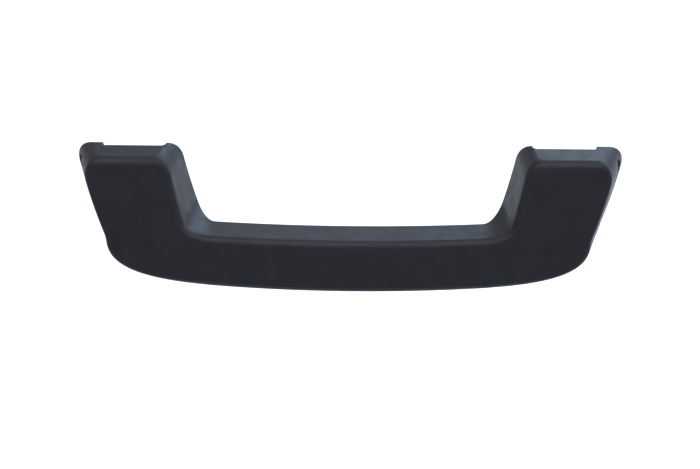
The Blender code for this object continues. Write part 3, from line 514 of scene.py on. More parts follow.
def back_profile(section, notch, wall_u, draft, floor_of):
    """One side of the back, from the side wall to the notch floor, as (distance in, y) points."""
    back, edge = section.back_y, section.back_edge
    lean = draft * (1 - notch.recess)
    land = wall_u - LIP
    arc_end = min(edge, land - TINY)
    points = []
    for a in arc_steps(5):
        u = arc_end * (1 - math.cos(a))
        rise = math.sqrt(max(0.0, edge ** 2 - (edge - u) ** 2))
        points.append((u + draft * (edge - rise), back - edge + rise))
    open_y = back - edge + math.sqrt(max(0.0, edge ** 2 - max(0.0, edge - land) ** 2))
    points.append((land, open_y))
    for k, a in enumerate(arc_steps(3)[1:], 1):
        sink = LIP * (1 - math.cos(a)) * notch.depth + TINY * k
        points.append((land + LIP * math.sin(a), open_y - sink))
    for k, a in enumerate(arc_steps(4), 4):
        u = wall_u + FLOOR_FILLET * (1 - math.cos(a))
        target = floor_of(u) + FLOOR_FILLET * (1 - math.sin(a))
        y = open_y - max(TINY * k, (open_y - target) * notch.depth)
        points.append((u + lean * (open_y - y), y))
    return points, open_y


def shell_ring(section, notch):
    """The closed outline of a section of the front moulding, its hollow included."""
    width = (section.outer - section.inner).length
    near, far = front_limits(section)
    inner, outer = section.edge_inner, section.edge_outer
    ring = [front_point(section, near + inner * (1 - math.cos(a)), inner * (1 - math.sin(a)))
            for a in arc_steps(10)]
    crease, tight = crease_distance(section), 0.35 * MM
    face = spread(near + inner, crease - tight, 8)[1:] + [crease]
    face += spread(crease + tight, far - outer, 10)[:-1]
    ring += [front_point(section, u) for u in face]
    ring += [front_point(section, far - outer * (1 - math.sin(a)), outer * (1 - math.cos(a)))
             for a in arc_steps(8)]

    def floor_of(u, from_outer=False):
        spot = section_point(section, width - u if from_outer else u, 0.0)
        hollow = front_y(spot.x, spot.z) + section.front_inset + WALL
        return mix(hollow, recess_floor_y(spot.z), notch.recess) - notch.lip

    outer_side, _ = back_profile(section, notch, notch.outer, section.draft_outer,
                                 lambda u: floor_of(u, True))
    inner_side, open_y = back_profile(section, notch, notch.inner, section.draft_inner, floor_of)
    ring += [section_point(section, width - u, y) for u, y in outer_side]
    floor = spread(width - outer_side[-1][0], inner_side[-1][0], 14)[1:-1]
    ring += [section_point(section, u, open_y - max(TINY * 9, (open_y - floor_of(u)) * notch.depth))
             for u in floor]
    ring += [section_point(section, u, y) for u, y in reversed(inner_side)]
    return ring


def arm_heights():
    """Heights of the arm sections, close together where the shape turns."""
    roof = [ROOF_Z + ROOF_ROUND * (1 - math.sin(a)) for a in arc_steps(4)]
    roof += [ROOF_Z - ROOF_DRAFT * k / 3 for k in (1, 2)]
    roof += [ROOF_Z - ROOF_DRAFT - ROOF_ROUND * (1 - math.cos(a)) for a in arc_steps(4)]
    heights = [HINGE.z + EAR_RADIUS * math.cos(math.radians(3 * i)) for i in range(31)] + roof
    heights += spread(HINGE.z, POCKET_TOP_Z + RECESS_BLEND, 12)
    heights += spread(POCKET_TOP_Z + RECESS_BLEND, POCKET_TOP_Z, 8)
    heights += spread(POCKET_TOP_Z, INNER_CORNER_Z, 13)[:-1]
    kept = []
    for z in sorted(heights, reverse=True):
        if not kept or kept[-1] - z > 0.004 * MM:
            kept.append(z)
    return kept


def fan_steps():
    web = spread(POCKET_FAN_END - WEB_BLEND, POCKET_FAN_END, 6)
    start = spread(CAVITY_FAN_START, CAVITY_FAN_START + WEB_BLEND, 6)
    return (spread(0.0, web[0], 14)[:-1] + web + spread(web[-1], start[0], 6)[1:-1] + start
            + spread(start[-1], 1.0, 36)[1:-1])


def make_front_shell():
    rings = []
    for z in arm_heights():
        section = arm_section(z)
        rings.append(shell_ring(section, arm_notch(section, z)))
    rings += [shell_ring(fan_section(t), fan_notch(t)) for t in fan_steps()]
    grip_notch = Notch(WALL, WALL, 1.0, 0.0, 0.0)
    rings += [shell_ring(grip_section(x), grip_notch) for x in spread(INNER_CORNER_X, 0.0, 30)]
    bm = bmesh.new()
    add_whole_loft(bm, rings)
    shell = add_piece("front_shell", bm)

    holes = bmesh.new()
    for side in (-1, 1):
        add_cylinder(holes, PIN_CLEARANCE, (side * PIN_HOLE_START_X, HINGE.y, HINGE.z),
                     (side * PIN_HOLE_END_X, HINGE.y, HINGE.z))
    cut(shell, holes)
    bosses, bores = bmesh.new(), bmesh.new()
    for spot in SHELL_SCREW_SPOTS:
        root = front_y(spot.x, spot.z) + WALL / 2
        add_turned(bosses, [(0.0, root), (BOSS_RADIUS, root), (BOSS_RADIUS, BOSS_TOP_Y - 0.4 * MM),
                            (BOSS_RADIUS - 0.4 * MM, BOSS_TOP_Y), (0.0, BOSS_TOP_Y)],
                   (spot.x, 0, spot.z), AXIS_Y, 40)
        add_cylinder(bores, SHELL_SCREW_HOLE, (spot.x, BOSS_BORE_END_Y, spot.z),
                     (spot.x, BOSS_TOP_Y + MM, spot.z), 32)
    cut(shell, bosses, "UNION")
    cut(shell, bores)
    return shell


# ------------------------------------------------------------------ rear moulding and grip parts

def rear_ring(section):
    """Outline of the rear moulding, which drops inside the walls of the front one."""
    inset, edges = WALL + REAR_GAP, []
    for y in (REAR_BACK_Y - REAR_THICK, REAR_BACK_Y):
        near, far = side_limits(section, y)
        edges.append((near + inset, far - inset, y))
    (near, far, low), (near_back, far_back, high) = edges
    corners = [(near, low), (far, low), (far_back, high), (near_back, high)]
    outline = rounded(corners, (0.3 * MM, 0.3 * MM, 0.9 * MM, 0.9 * MM), 5)
    return [section_point(section, u, y) for u, y in outline]


def make_rear_shell():
    """Cover with four sunk screw seats and two long stiffening grooves."""
    rings = [rear_ring(fan_section(t)) for t in spread(REAR_FAN_START, 1.0, 34)[:-1]]
    rings += [rear_ring(grip_section(x)) for x in spread(INNER_CORNER_X, 0.0, 26)]
    bm = bmesh.new()
    add_whole_loft(bm, rings)
    shell = add_piece("rear_shell", bm)
    seats, bores, holes, grooves = bmesh.new(), bmesh.new(), bmesh.new(), bmesh.new()
    for spot in SHELL_SCREW_SPOTS:
        seat = [(0.0, SEAT_FRONT_Y), (SEAT_RADIUS - 0.4 * MM, SEAT_FRONT_Y),
                (SEAT_RADIUS, SEAT_FRONT_Y + 0.4 * MM), (SEAT_RADIUS, REAR_BACK_Y - MM),
                (0.0, REAR_BACK_Y - MM)]
        add_turned(seats, seat, (spot.x, 0, spot.z), AXIS_Y, 48)
        flare = 0.5 * MM
        bore = [(0.0, COUNTERBORE_FLOOR_Y), (COUNTERBORE_RADIUS, COUNTERBORE_FLOOR_Y),
                (COUNTERBORE_RADIUS, REAR_BACK_Y - flare), (COUNTERBORE_RADIUS + flare, REAR_BACK_Y),
                (COUNTERBORE_RADIUS + flare, THROUGH), (0.0, THROUGH)]
        add_turned(bores, bore, (spot.x, 0, spot.z), AXIS_Y, 48)
        add_cylinder(holes, SHELL_SCREW_HOLE, (spot.x, SEAT_FRONT_Y - MM, spot.z),
                     (spot.x, THROUGH, spot.z), 32)
    half_length, half_width, depth = 24.0 * MM, 0.6 * MM, 0.5 * MM
    for z in (-21.4 * MM, -28.2 * MM):
        add_rounded_block(grooves, (-half_length, REAR_BACK_Y - depth, z - half_width),
                          (half_length, REAR_BACK_Y + MM, z + half_width), 0.45 * MM)
    cut(shell, seats, "UNION")
    cut(shell, bores)
    cut(shell, holes)
    cut(shell, grooves)
    return shell


def make_core():
    """Pressed steel channel, open to the back, with two boss holes and three lightening slots."""
    low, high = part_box("grip_core")
    inner_low, inner_high = low.z + CORE_SHEET, high.z - CORE_SHEET
    corners = [(high.y, low.z), (low.y, low.z), (low.y, high.z), (high.y, high.z), (high.y, inner_high),
               (low.y + CORE_SHEET, inner_high), (low.y + CORE_SHEET, inner_low), (high.y, inner_low)]
    bend, cut_edge = 1.6 * MM, 0.15 * MM
    outline = rounded(corners, (cut_edge, bend, bend, cut_edge, cut_edge, 0.5 * MM, 0.5 * MM, cut_edge), 5)
    bm = bmesh.new()
    add_loft(bm, [[Vector((x, y, z)) for y, z in outline] for x in spread(low.x, high.x, 25)])
    core = add_piece("core_channel", bm)
    holes = bmesh.new()
    before, behind, middle_z = low.y - MM, low.y + CORE_SHEET + MM, (low.z + high.z) / 2
    for spot in SHELL_SCREW_SPOTS[1:3]:
        add_cylinder(holes, BOSS_RADIUS + 2 * GAP, (spot.x, before, spot.z), (spot.x, behind, spot.z))
    slot_pitch, half_slot, half_tall = 14.0 * MM, 4.5 * MM, 2.2 * MM
    for x in (-slot_pitch, 0.0, slot_pitch):
        add_rounded_block(holes, (x - half_slot, before, middle_z - half_tall),
                          (x + half_slot, behind, middle_z + half_tall), 0.9 * MM)
    cut(core, holes)
    return core


def thread_radius(root, crest, pitch, height):
    """Radius of a V thread at one height, as a function of the turn."""
    flank = 1.15

    def radius(angle):
        phase = (height / pitch - angle / (2 * math.pi)) % 1.0
        return root + (crest - root) * max(0.0, 1.0 - abs(2.0 * phase - 1.0) * flank)
    return radius


def thread_profile(root, crest, pitch, start, end, steps=10):
    """Profile points along a threaded shank. The crest fades in and out over one pitch."""
    count = max(2, round(abs(end - start) / pitch * steps))
    points = []
    for height in spread(start, end, count):
        fade = min(1.0, abs(height - start) / pitch, abs(height - end) / pitch)
        points.append((thread_radius(root, mix(root, crest, fade), pitch, height), height))
    return points


def make_shell_screw(index, spot):
    """Self-tapping screw with a domed head, a cross recess and a coarse thread."""
    low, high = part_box(f"shell_screw_{index}")
    head, head_rise, head_low = 3.2 * MM, 0.9 * MM, COUNTERBORE_FLOOR_Y + GAP
    slot_length, slot_width, slot_deep = 1.5 * MM, 0.36 * MM, 2.2 * MM
    dome = [(head * math.sin(a), high.y - head_rise * (1 - math.cos(a))) for a in arc_steps(9)]
    dome[0] = (0.0, high.y)
    profile = dome + [(head, head_low + 0.15 * MM), (head - 0.15 * MM, head_low), (1.25 * MM, head_low)]
    profile += thread_profile(1.0 * MM, SHELL_SCREW_SHANK, 1.1 * MM, head_low - 0.4 * MM, low.y + 1.3 * MM)
    profile += [(0.5 * MM, low.y + 0.3 * MM), (0.0, low.y)]
    screw = turned(f"self_tapper_{index}", profile, (spot.x, 0, spot.z), AXIS_Y, 40)
    place = Matrix.Translation((spot.x, high.y, spot.z)) @ Matrix.Rotation(math.radians(-90), 4, "X")
    square = Matrix.Rotation(math.radians(45), 4, "Z")
    for wide, tall in ((slot_length, slot_width), (slot_width, slot_length)):
        size = Matrix.Diagonal((wide * math.sqrt(2), tall * math.sqrt(2), slot_deep, 1))
        blade = bmesh.new()
        bmesh.ops.create_cone(blade, cap_ends=True, segments=4, radius1=0.25, radius2=1.0, depth=1.0,
                              matrix=place @ size @ square)
        cut(screw, blade)
    return screw


def make_bumper_pad(side_name):
    """Rubber button with a domed face and a moulded groove round its foot."""
    low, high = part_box(f"bumper_pad_{side_name}")
    middle, radius = (low + high) / 2, (high.x - low.x) / 2
    groove, edge = radius - 0.45 * MM, 0.1 * MM
    corners = [(0.0, high.y), (radius - 1.2 * MM, high.y - 0.15 * MM), (radius, high.y - 1.4 * MM),
               (radius, low.y + 1.3 * MM), (groove, low.y + 1.1 * MM), (groove, low.y + 0.7 * MM),
               (radius, low.y + 0.5 * MM), (radius, low.y), (0.0, low.y)]
    radii = (0, 0.6 * MM, 0.5 * MM, edge, edge, edge, edge, edge, 0)
    outline = rounded(corners, radii, 4, False)
    return turned(f"bumper_{side_name}", outline, (middle.x, 0, middle.z), AXIS_Y)


# ------------------------------------------------------------------ hinge: pins, bushes, spring and damper

def make_hinge_pin(side_name, side):
    """Steel pin: ground barrel, chamfered ends and two shallow ring marks near its outer end."""
    low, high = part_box(f"hinge_pin_{side_name}")
    start, end = sorted((abs(low.x), abs(high.x)))
    radius, mark, chamfer = (high.z - low.z) / 2, 0.12 * MM, 0.5 * MM
    corners = [(0.0, start), (radius - chamfer, start), (radius, start + chamfer)]
    for x in (end - 6.0 * MM, end - 4.6 * MM):
        corners += [(radius, x - 0.3 * MM), (radius - mark, x - 0.15 * MM), (radius - mark, x + 0.15 * MM),
                    (radius, x + 0.3 * MM)]
    corners += [(radius, end - chamfer), (radius - chamfer, end), (0.0, end)]
    radii = [0, 0.15 * MM, 0.15 * MM] + [0.04 * MM] * 8 + [0.15 * MM, 0.15 * MM, 0]
    return turned(f"pin_{side_name}", rounded(corners, radii, 3, False), PIN_LINE, AXIS_X * side)


def make_bush(side_name, which):
    """Flanged bush with relieved edges and a small lead-in at the mouth of the bore."""
    low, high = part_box(f"hinge_bush_{side_name}_{which}")
    flange, bore, body, thick, length = 4.8 * MM, 2.8 * MM, 3.65 * MM, 0.8 * MM, high.x - low.x
    flange_low = (side_name == "right") == (which == "inner")
    origin = low.x if flange_low else high.x
    corners = [(flange, thick), (flange, 0.0), (bore, 0.0), (bore, length), (body, length), (body, thick)]
    edge = 0.2 * MM
    outline = rounded(corners, (edge, edge, 1.5 * edge, edge, 1.5 * edge, 0.1 * MM), 4)
    return turned(f"bush_{side_name}_{which}", outline, (origin, HINGE.y, HINGE.z),
                  AXIS_X * (1 if flange_low else -1))


def swept(name, path, radius, segments=16):
    """A round wire along a path, with domed ends."""
    dome = [(0.0, 0.6), (0.2, 0.9), (0.35, 1.0)]
    ends = {0: dome, len(path) - 1: [(-ahead, share) for ahead, share in reversed(dome)]}
    after, before = path[1:] + path[-1:], path[:1] + path[:-1]
    tangents = [(a - b).normalized() for a, b in zip(after, before)]
    across = tangents[0].cross(AXIS_Z if abs(tangents[0].z) < 0.9 else AXIS_X).normalized()
    rings = []
    for i, (spot, tangent) in enumerate(zip(path, tangents)):
        if i:
            across = tangents[i - 1].rotation_difference(tangent) @ across
        across = (across - tangent * across.dot(tangent)).normalized()
        up = tangent.cross(across)
        for ahead, share in ends.get(i, [(0.0, 1.0)]):
            centre = spot + tangent * radius * ahead
            rings.append([centre + radius * share * (across * math.cos(a) + up * math.sin(a))
                          for a in turn_steps(segments)])
    bm = bmesh.new()
    add_loft(bm, rings)
    return add_piece(name, bm)


def make_spring():
    """Torsion spring round the left pin: one leg lies on the bracket, the other on the arm."""
    middle = -(KNUCKLE_INNER_X + KNUCKLE_OUTER_X) / 2
    start_x = middle - SPRING_PITCH * COIL_TURNS / 2
    end_x = middle + SPRING_PITCH * COIL_TURNS / 2
    steps_per_turn = 56
    count = round(COIL_TURNS * steps_per_turn)
    coil = []
    for i in range(count + 1):
        angle = 2 * math.pi * COIL_TURNS * i / count
        coil.append(Vector((mix(start_x, end_x, i / count), HINGE.y + COIL_RADIUS * math.cos(angle),
                            HINGE.z + COIL_RADIUS * math.sin(angle))))
    first = Vector((start_x, *BRACKET_LEG))
    last = Vector((end_x, *HANDLE_LEG))
    lead = [first.lerp(coil[0], t) for t in spread(0.0, 1.0, 7)[:-1]]
    tail = [coil[-1].lerp(last, t) for t in spread(0.0, 1.0, 12)[1:]]
    path = lead + coil + tail
    for _ in range(2):
        path = [path[0]] + [(a + 2 * b + c) / 4 for a, b, c in zip(path, path[1:], path[2:])] + [path[-1]]
    spring = swept("torsion_spring", path, WIRE_RADIUS)
    return spring, Vector((start_x, HINGE.y, HINGE.z)), Vector((end_x, HINGE.y, HINGE.z))


def make_damper_cup():
    """Fixed cup of the damper, with two grip grooves and a keyed tab that stops it turning."""
    low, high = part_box("damper_housing")
    floor, edge = low.x + 1.2 * MM, 0.2 * MM
    corners = [(DAMPER_RADIUS, high.x), (DAMPER_RADIUS, low.x), (DAMPER_HOLE, low.x), (DAMPER_HOLE, floor),
               (DAMPER_CHAMBER, floor), (DAMPER_CHAMBER, high.x)]
    outline = rounded(corners, (edge, 3 * edge, edge, 0, edge, edge), 4)
    cup = turned("damper_cup", outline, PIN_LINE, AXIS_X)
    tab, grooves = bmesh.new(), bmesh.new()
    middle, half_tab = (floor + high.x) / 2, 3.0 * MM
    add_rounded_block(tab, (middle - half_tab, HINGE.y + 4.6 * MM, low.z),
                      (middle + half_tab, high.y, HINGE.z - 0.6 * MM), 0.3 * MM)
    depth, half_groove = 0.15 * MM, 0.25 * MM
    for x in (floor + 1.6 * MM, high.x - 1.4 * MM):
        groove = band(DAMPER_RADIUS - depth, DAMPER_RADIUS + MM, x - half_groove, x + half_groove)
        add_turned(grooves, groove, PIN_LINE, AXIS_X)
    cut(cup, grooves)
    cut(cup, tab, "UNION")
    return cup


def make_damper_cap():
    low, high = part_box("damper_cap")
    edge = 0.2 * MM
    outline = rounded(band(DAMPER_HOLE, DAMPER_RADIUS, low.x, high.x), (edge, edge, 1.5 * edge, edge), 4)
    return turned("damper_cap_ring", outline, PIN_LINE, AXIS_X)


def make_damper_seal():
    low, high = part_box("damper_seal")
    minor = (high.x - low.x) / 2
    major = (high.z - low.z) / 2 - minor
    middle = (low.x + high.x) / 2
    loop = [(major + minor * math.cos(a), middle + minor * math.sin(a)) for a in turn_steps(20)]
    return turned("o_ring", loop, PIN_LINE, AXIS_X)


def make_damper_rotor():
    """Sleeve keyed to the pin, with two vanes that sweep the grease in the cup."""
    low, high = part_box("damper_rotor")
    edge, half_vane = 0.12 * MM, 0.8 * MM
    outline = rounded(band(2.8 * MM, 3.3 * MM, low.x, high.x), (edge,) * 4, 3)
    rotor = turned("rotor_tube", outline, PIN_LINE, AXIS_X)
    vanes = bmesh.new()
    for side in (-1, 1):
        bottom, top = sorted((HINGE.z + side * 3.05 * MM, HINGE.z + side * 4.0 * MM))
        add_rounded_block(vanes, (low.x + 1.6 * MM, HINGE.y - half_vane, bottom),
                          (high.x - 3.4 * MM, HINGE.y + half_vane, top), edge)
    cut(rotor, vanes, "UNION")
    return rotor


# ------------------------------------------------------------------ brackets, screws and covers

def band_outline(circles, inset, count=168):
    """The taut band round circles of (x, z, radius), drawn in by an inset."""
    points = []
    for a in turn_steps(count):
        normal = Vector((math.cos(a), math.sin(a)))
        x, z, radius = max(circles, key=lambda c: c[0] * normal.x + c[1] * normal.y + c[2])
        points.append(Vector((x, z)) + normal * (radius - inset))
    return points


def make_bracket(side_name, side):
    """Moulded bracket: plate, two knuckles on webs, screw boss and the locating peg behind it."""
    corner_z = PLATE_TOP_Z - PLATE_CORNER
    screw_x = abs(SCREW_SPOTS[side_name].x)
    circles = [(side * screw_x, 0.0, PLATE_RADIUS),
               (side * (KNUCKLE_INNER_X + PLATE_CORNER), corner_z, PLATE_CORNER),
               (side * (KNUCKLE_OUTER_X - PLATE_CORNER), corner_z, PLATE_CORNER)]
    round_edge, trim, chamfer = 0.7 * MM, 0.2 * MM, 0.35 * MM
    levels = [(round_edge * (1 - math.sin(a)), -PLATE_THICK + round_edge * (1 - math.cos(a)))
              for a in arc_steps(5)] + [(0.0, -0.25 * MM), (0.25 * MM, 0.0)]
    bm = bmesh.new()
    add_loft(bm, [[Vector((p.x, y, p.y)) for p in band_outline(circles, inset)] for inset, y in levels])
    bracket = add_piece(f"bracket_body_{side_name}", bm)

    web_outline = rounded([(HINGE.y + WEB_REACH, HINGE.z - 0.5 * MM), (-ROOTED, PLATE_TOP_Z - 0.1 * MM),
                           (-ROOTED, WEB_BOTTOM_Z), (HINGE.y, WEB_BOTTOM_Z), (HINGE.y, HINGE.z)],
                          (0, 0, 0, 0.8 * MM, 0), 4)
    webs, knuckles, rounds, holes = bmesh.new(), bmesh.new(), bmesh.new(), bmesh.new()
    for inner in (KNUCKLE_INNER_X, KNUCKLE_OUTER_X - KNUCKLE_WIDTH):
        outer = inner + KNUCKLE_WIDTH
        ends = sorted((side * (inner + trim), side * (outer - trim)))
        add_loft(webs, [[Vector((x, y, z)) for y, z in web_outline] for x in ends])
        profile = [(0.0, inner), (KNUCKLE_RADIUS - chamfer, inner), (KNUCKLE_RADIUS, inner + chamfer),
                   (KNUCKLE_RADIUS, outer - chamfer), (KNUCKLE_RADIUS - chamfer, outer), (0.0, outer)]
        add_turned(knuckles, profile, PIN_LINE, AXIS_X * side)
    top, wide = -BRACKET_BOSS_Y, BRACKET_BOSS_RADIUS
    boss = [(0.0, top), (wide - 0.4 * MM, top), (wide, top - 0.4 * MM), (wide, PLATE_THICK + 0.5 * MM),
            (wide + 0.15 * MM, PLATE_THICK + 0.15 * MM), (wide + 0.5 * MM, PLATE_THICK - 0.05 * MM),
            (wide + 0.5 * MM, ROOTED), (0.0, ROOTED)]
    add_turned(rounds, boss, (side * screw_x, 0, 0), -AXIS_Y)
    peg = [(0.0, PEG_LENGTH), (PEG_RADIUS - 0.8 * MM, PEG_LENGTH), (PEG_RADIUS, PEG_LENGTH - 1.2 * MM),
           (PEG_RADIUS, -ROOTED), (0.0, -ROOTED)]
    add_turned(rounds, peg, (side * PEG_X, 0, PEG_Z), AXIS_Y, 40)
    cut(bracket, webs, "UNION")
    cut(bracket, knuckles, "UNION")
    cut(bracket, rounds, "UNION")
    add_cylinder(holes, KNUCKLE_BORE, (side * (KNUCKLE_INNER_X - THROUGH), HINGE.y, HINGE.z),
                 (side * (KNUCKLE_OUTER_X + THROUGH), HINGE.y, HINGE.z), 72)
    add_cylinder(holes, SLEEVE_RADIUS + GAP, (side * screw_x, BRACKET_BOSS_Y - THROUGH, 0),
                 (side * screw_x, THROUGH, 0), 72)
    cut(bracket, holes)
    return bracket


def make_sleeve(side_name, spot):
    """Rolled steel sleeve with its lengthwise seam."""
    low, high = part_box(f"screw_sleeve_{side_name}")
    outline = rounded(band(SLEEVE_BORE, SLEEVE_RADIUS, low.y, high.y), (0.2 * MM,) * 4, 3)
    sleeve = turned(f"sleeve_{side_name}", outline, (spot.x, 0, spot.z), AXIS_Y)
    seam = bmesh.new()
    half_seam = 0.15 * MM
    add_rounded_block(seam, (spot.x - half_seam, low.y - MM, spot.z + 3.0 * MM),
                      (spot.x + half_seam, high.y + MM, spot.z + 5.0 * MM), 0.02 * MM, 1)
    cut(sleeve, seam)
    return sleeve


def make_washer(side_name, spot):
    low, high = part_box(f"screw_washer_{side_name}")
    outline = rounded(band(SLEEVE_BORE, WASHER_RADIUS, low.y, high.y),
                      (0.1 * MM, 0.3 * MM, 0.15 * MM, 0.1 * MM), 4)
    return turned(f"washer_{side_name}", outline, (spot.x, 0, spot.z), AXIS_Y)


def make_mounting_screw(side_name, spot):
    """Machine screw with a domed head, a hexagon socket and a rolled thread."""
    low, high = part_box(f"mounting_screw_{side_name}")
    head, head_rise, head_tall = 5.6 * MM, 1.6 * MM, 4.2 * MM
    seat, plain_shank = low.y + head_tall, 4.2 * MM
    dome = [(head * math.sin(a), low.y + head_rise * (1 - math.cos(a))) for a in arc_steps(13)]
    dome[0] = (0.0, low.y)
    profile = dome + [(head, seat - 0.2 * MM), (head - 0.2 * MM, seat), (SCREW_SHANK + 0.25 * MM, seat),
                      (SCREW_SHANK - 0.1 * MM, seat + 0.3 * MM)]
    profile += thread_profile(2.45 * MM, SCREW_SHANK, 1.0 * MM, seat + plain_shank, high.y - 1.6 * MM)
    profile += [(2.2 * MM, high.y - 0.7 * MM), (1.9 * MM, high.y), (0.0, high.y)]
    screw = turned(f"machine_screw_{side_name}", profile, (spot.x, 0, spot.z), AXIS_Y, 56)
    socket, key = bmesh.new(), 2.6 * MM
    add_turned(socket, [(0.0, low.y - MM), (key, low.y - MM), (key, low.y + 2.2 * MM),
                        (0.0, low.y + 3.2 * MM)], (spot.x, 0, spot.z), AXIS_Y, 6)
    cut(screw, socket)
    return screw


def make_cover(side_name, spot):
    """Snap-in cap over the screw: dished face, fine step round it and a pry notch at the foot."""
    low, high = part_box(f"screw_cover_{side_name}")
    radius, wall = (high.x - low.x) / 2, 1.3 * MM
    top, foot, skirt, bore = -low.y, -high.y, radius - 0.25 * MM, radius - wall
    corners = [(0.0, top - 0.35 * MM), (radius - 3.2 * MM, top - 0.2 * MM), (radius - 2.4 * MM, top),
               (radius, top), (radius, foot + 2.2 * MM), (skirt, foot + 2.0 * MM), (skirt, foot),
               (bore, foot), (bore, top - wall), (0.0, top - wall)]
    radii = (0, 0.5 * MM, 0.4 * MM, 1.3 * MM, 0.08 * MM, 0.08 * MM, 0.2 * MM, 0.2 * MM, 0.6 * MM, 0)
    cover = turned(f"cap_{side_name}", rounded(corners, radii, 5, False), (spot.x, 0, spot.z), -AXIS_Y, 96)
    notch, half_notch = bmesh.new(), 2.2 * MM
    add_rounded_block(notch, (spot.x - half_notch, high.y - 1.4 * MM, low.z - MM),
                      (spot.x + half_notch, high.y + MM, low.z + MM), 0.3 * MM)
    cut(cover, notch)
    return cover


# ------------------------------------------------------------------ camera, light and floor

def point_at(obj, place, target, roll=0.0):
    """Put a camera or a light somewhere, looking at a target."""
    turn = (Vector(target) - Vector(place)).to_track_quat("-Z", "Y").to_matrix()
    obj.location = place
    obj.rotation_mode = "QUATERNION"
    obj.rotation_quaternion = (turn @ Matrix.Rotation(roll, 3, "Z")).to_quaternion()


def make_camera():
    azimuth, elevation, roll = math.radians(2.04), math.radians(25.14), math.radians(-0.27)
    distance, target = 0.906, Vector((0.0009, -0.027, -0.01146))
    away = Vector((math.sin(azimuth) * math.cos(elevation), -math.cos(azimuth) * math.cos(elevation),
                   math.sin(elevation)))
    data = bpy.data.cameras.new("camera")
    data.sensor_width, data.lens = 36.0, 109.25
    camera = link_object("camera", data)
    point_at(camera, target + away * distance, target, roll)
    bpy.context.scene.camera = camera


def add_area_light(name, place, size, power, colour):
    data = bpy.data.lights.new(name, "AREA")
    data.shape = "RECTANGLE"
    data.size, data.size_y = size
    data.energy, data.color = power, colour
    point_at(link_object(name, data), place, (0, 0, 0))


def floor_surface():
    """White paper behind the handle, with painted shade taking it down to pale grey in front of it."""
    nodes = Nodes("floor_paper")
    split = nodes.add("ShaderNodeSeparateXYZ")
    nodes.link(nodes.place, split.inputs[0])
    front_y, back_y = -0.16, 0.02
    # painted shade: the paper is painted grey in front of the handle and white behind it, standing in for
    # the shade on the front of the floor
    share = nodes.ramp(split.outputs[1], front_y, back_y)
    colour = nodes.blend(share, (0.42, 0.42, 0.43), (0.92, 0.92, 0.92))
    fibres = nodes.noise(0.6 * MM, 3.0)
    gloss = nodes.ramp(fibres, 0.3, 0.7, 0.86, 0.94)
    return nodes.finish(colour, gloss, nodes.bump(fibres, 0.01 * MM, 0.3), 0.0, 0.1)


def make_stage():
    scene = bpy.context.scene
    world = bpy.data.worlds.new("studio")
    world.use_nodes = True
    background = world.node_tree.nodes["Background"]
    background.inputs["Color"].default_value = (0.94, 0.97, 1.0, 1.0)
    background.inputs["Strength"].default_value = 0.50
    scene.world = world
    scene.view_settings.view_transform = "Standard"
    add_area_light("top_panel", (0.1, -0.8, 1.65), (2.0, 1.6), 40.0, (1.0, 0.99, 1.0))
    add_area_light("rear_panel", (0.7, 1.3, 0.9), (1.6, 0.8), 21.0, (0.60, 0.79, 1.0))
    add_area_light("side_panel", (1.3, 0.35, 0.55), (0.8, 0.8), 8.0, (0.45, 0.70, 1.0))

    drop_below_handle = 0.13
    bm = bmesh.new()
    bmesh.ops.create_circle(bm, cap_ends=True, segments=96, radius=6.0,
                            matrix=Matrix.Translation((0, 0, SHELL_LOW.z - drop_below_handle)))
    floor = link_object("floor", mesh_from("floor", bm))
    floor.data.materials.append(floor_surface())


# ------------------------------------------------------------------ materials

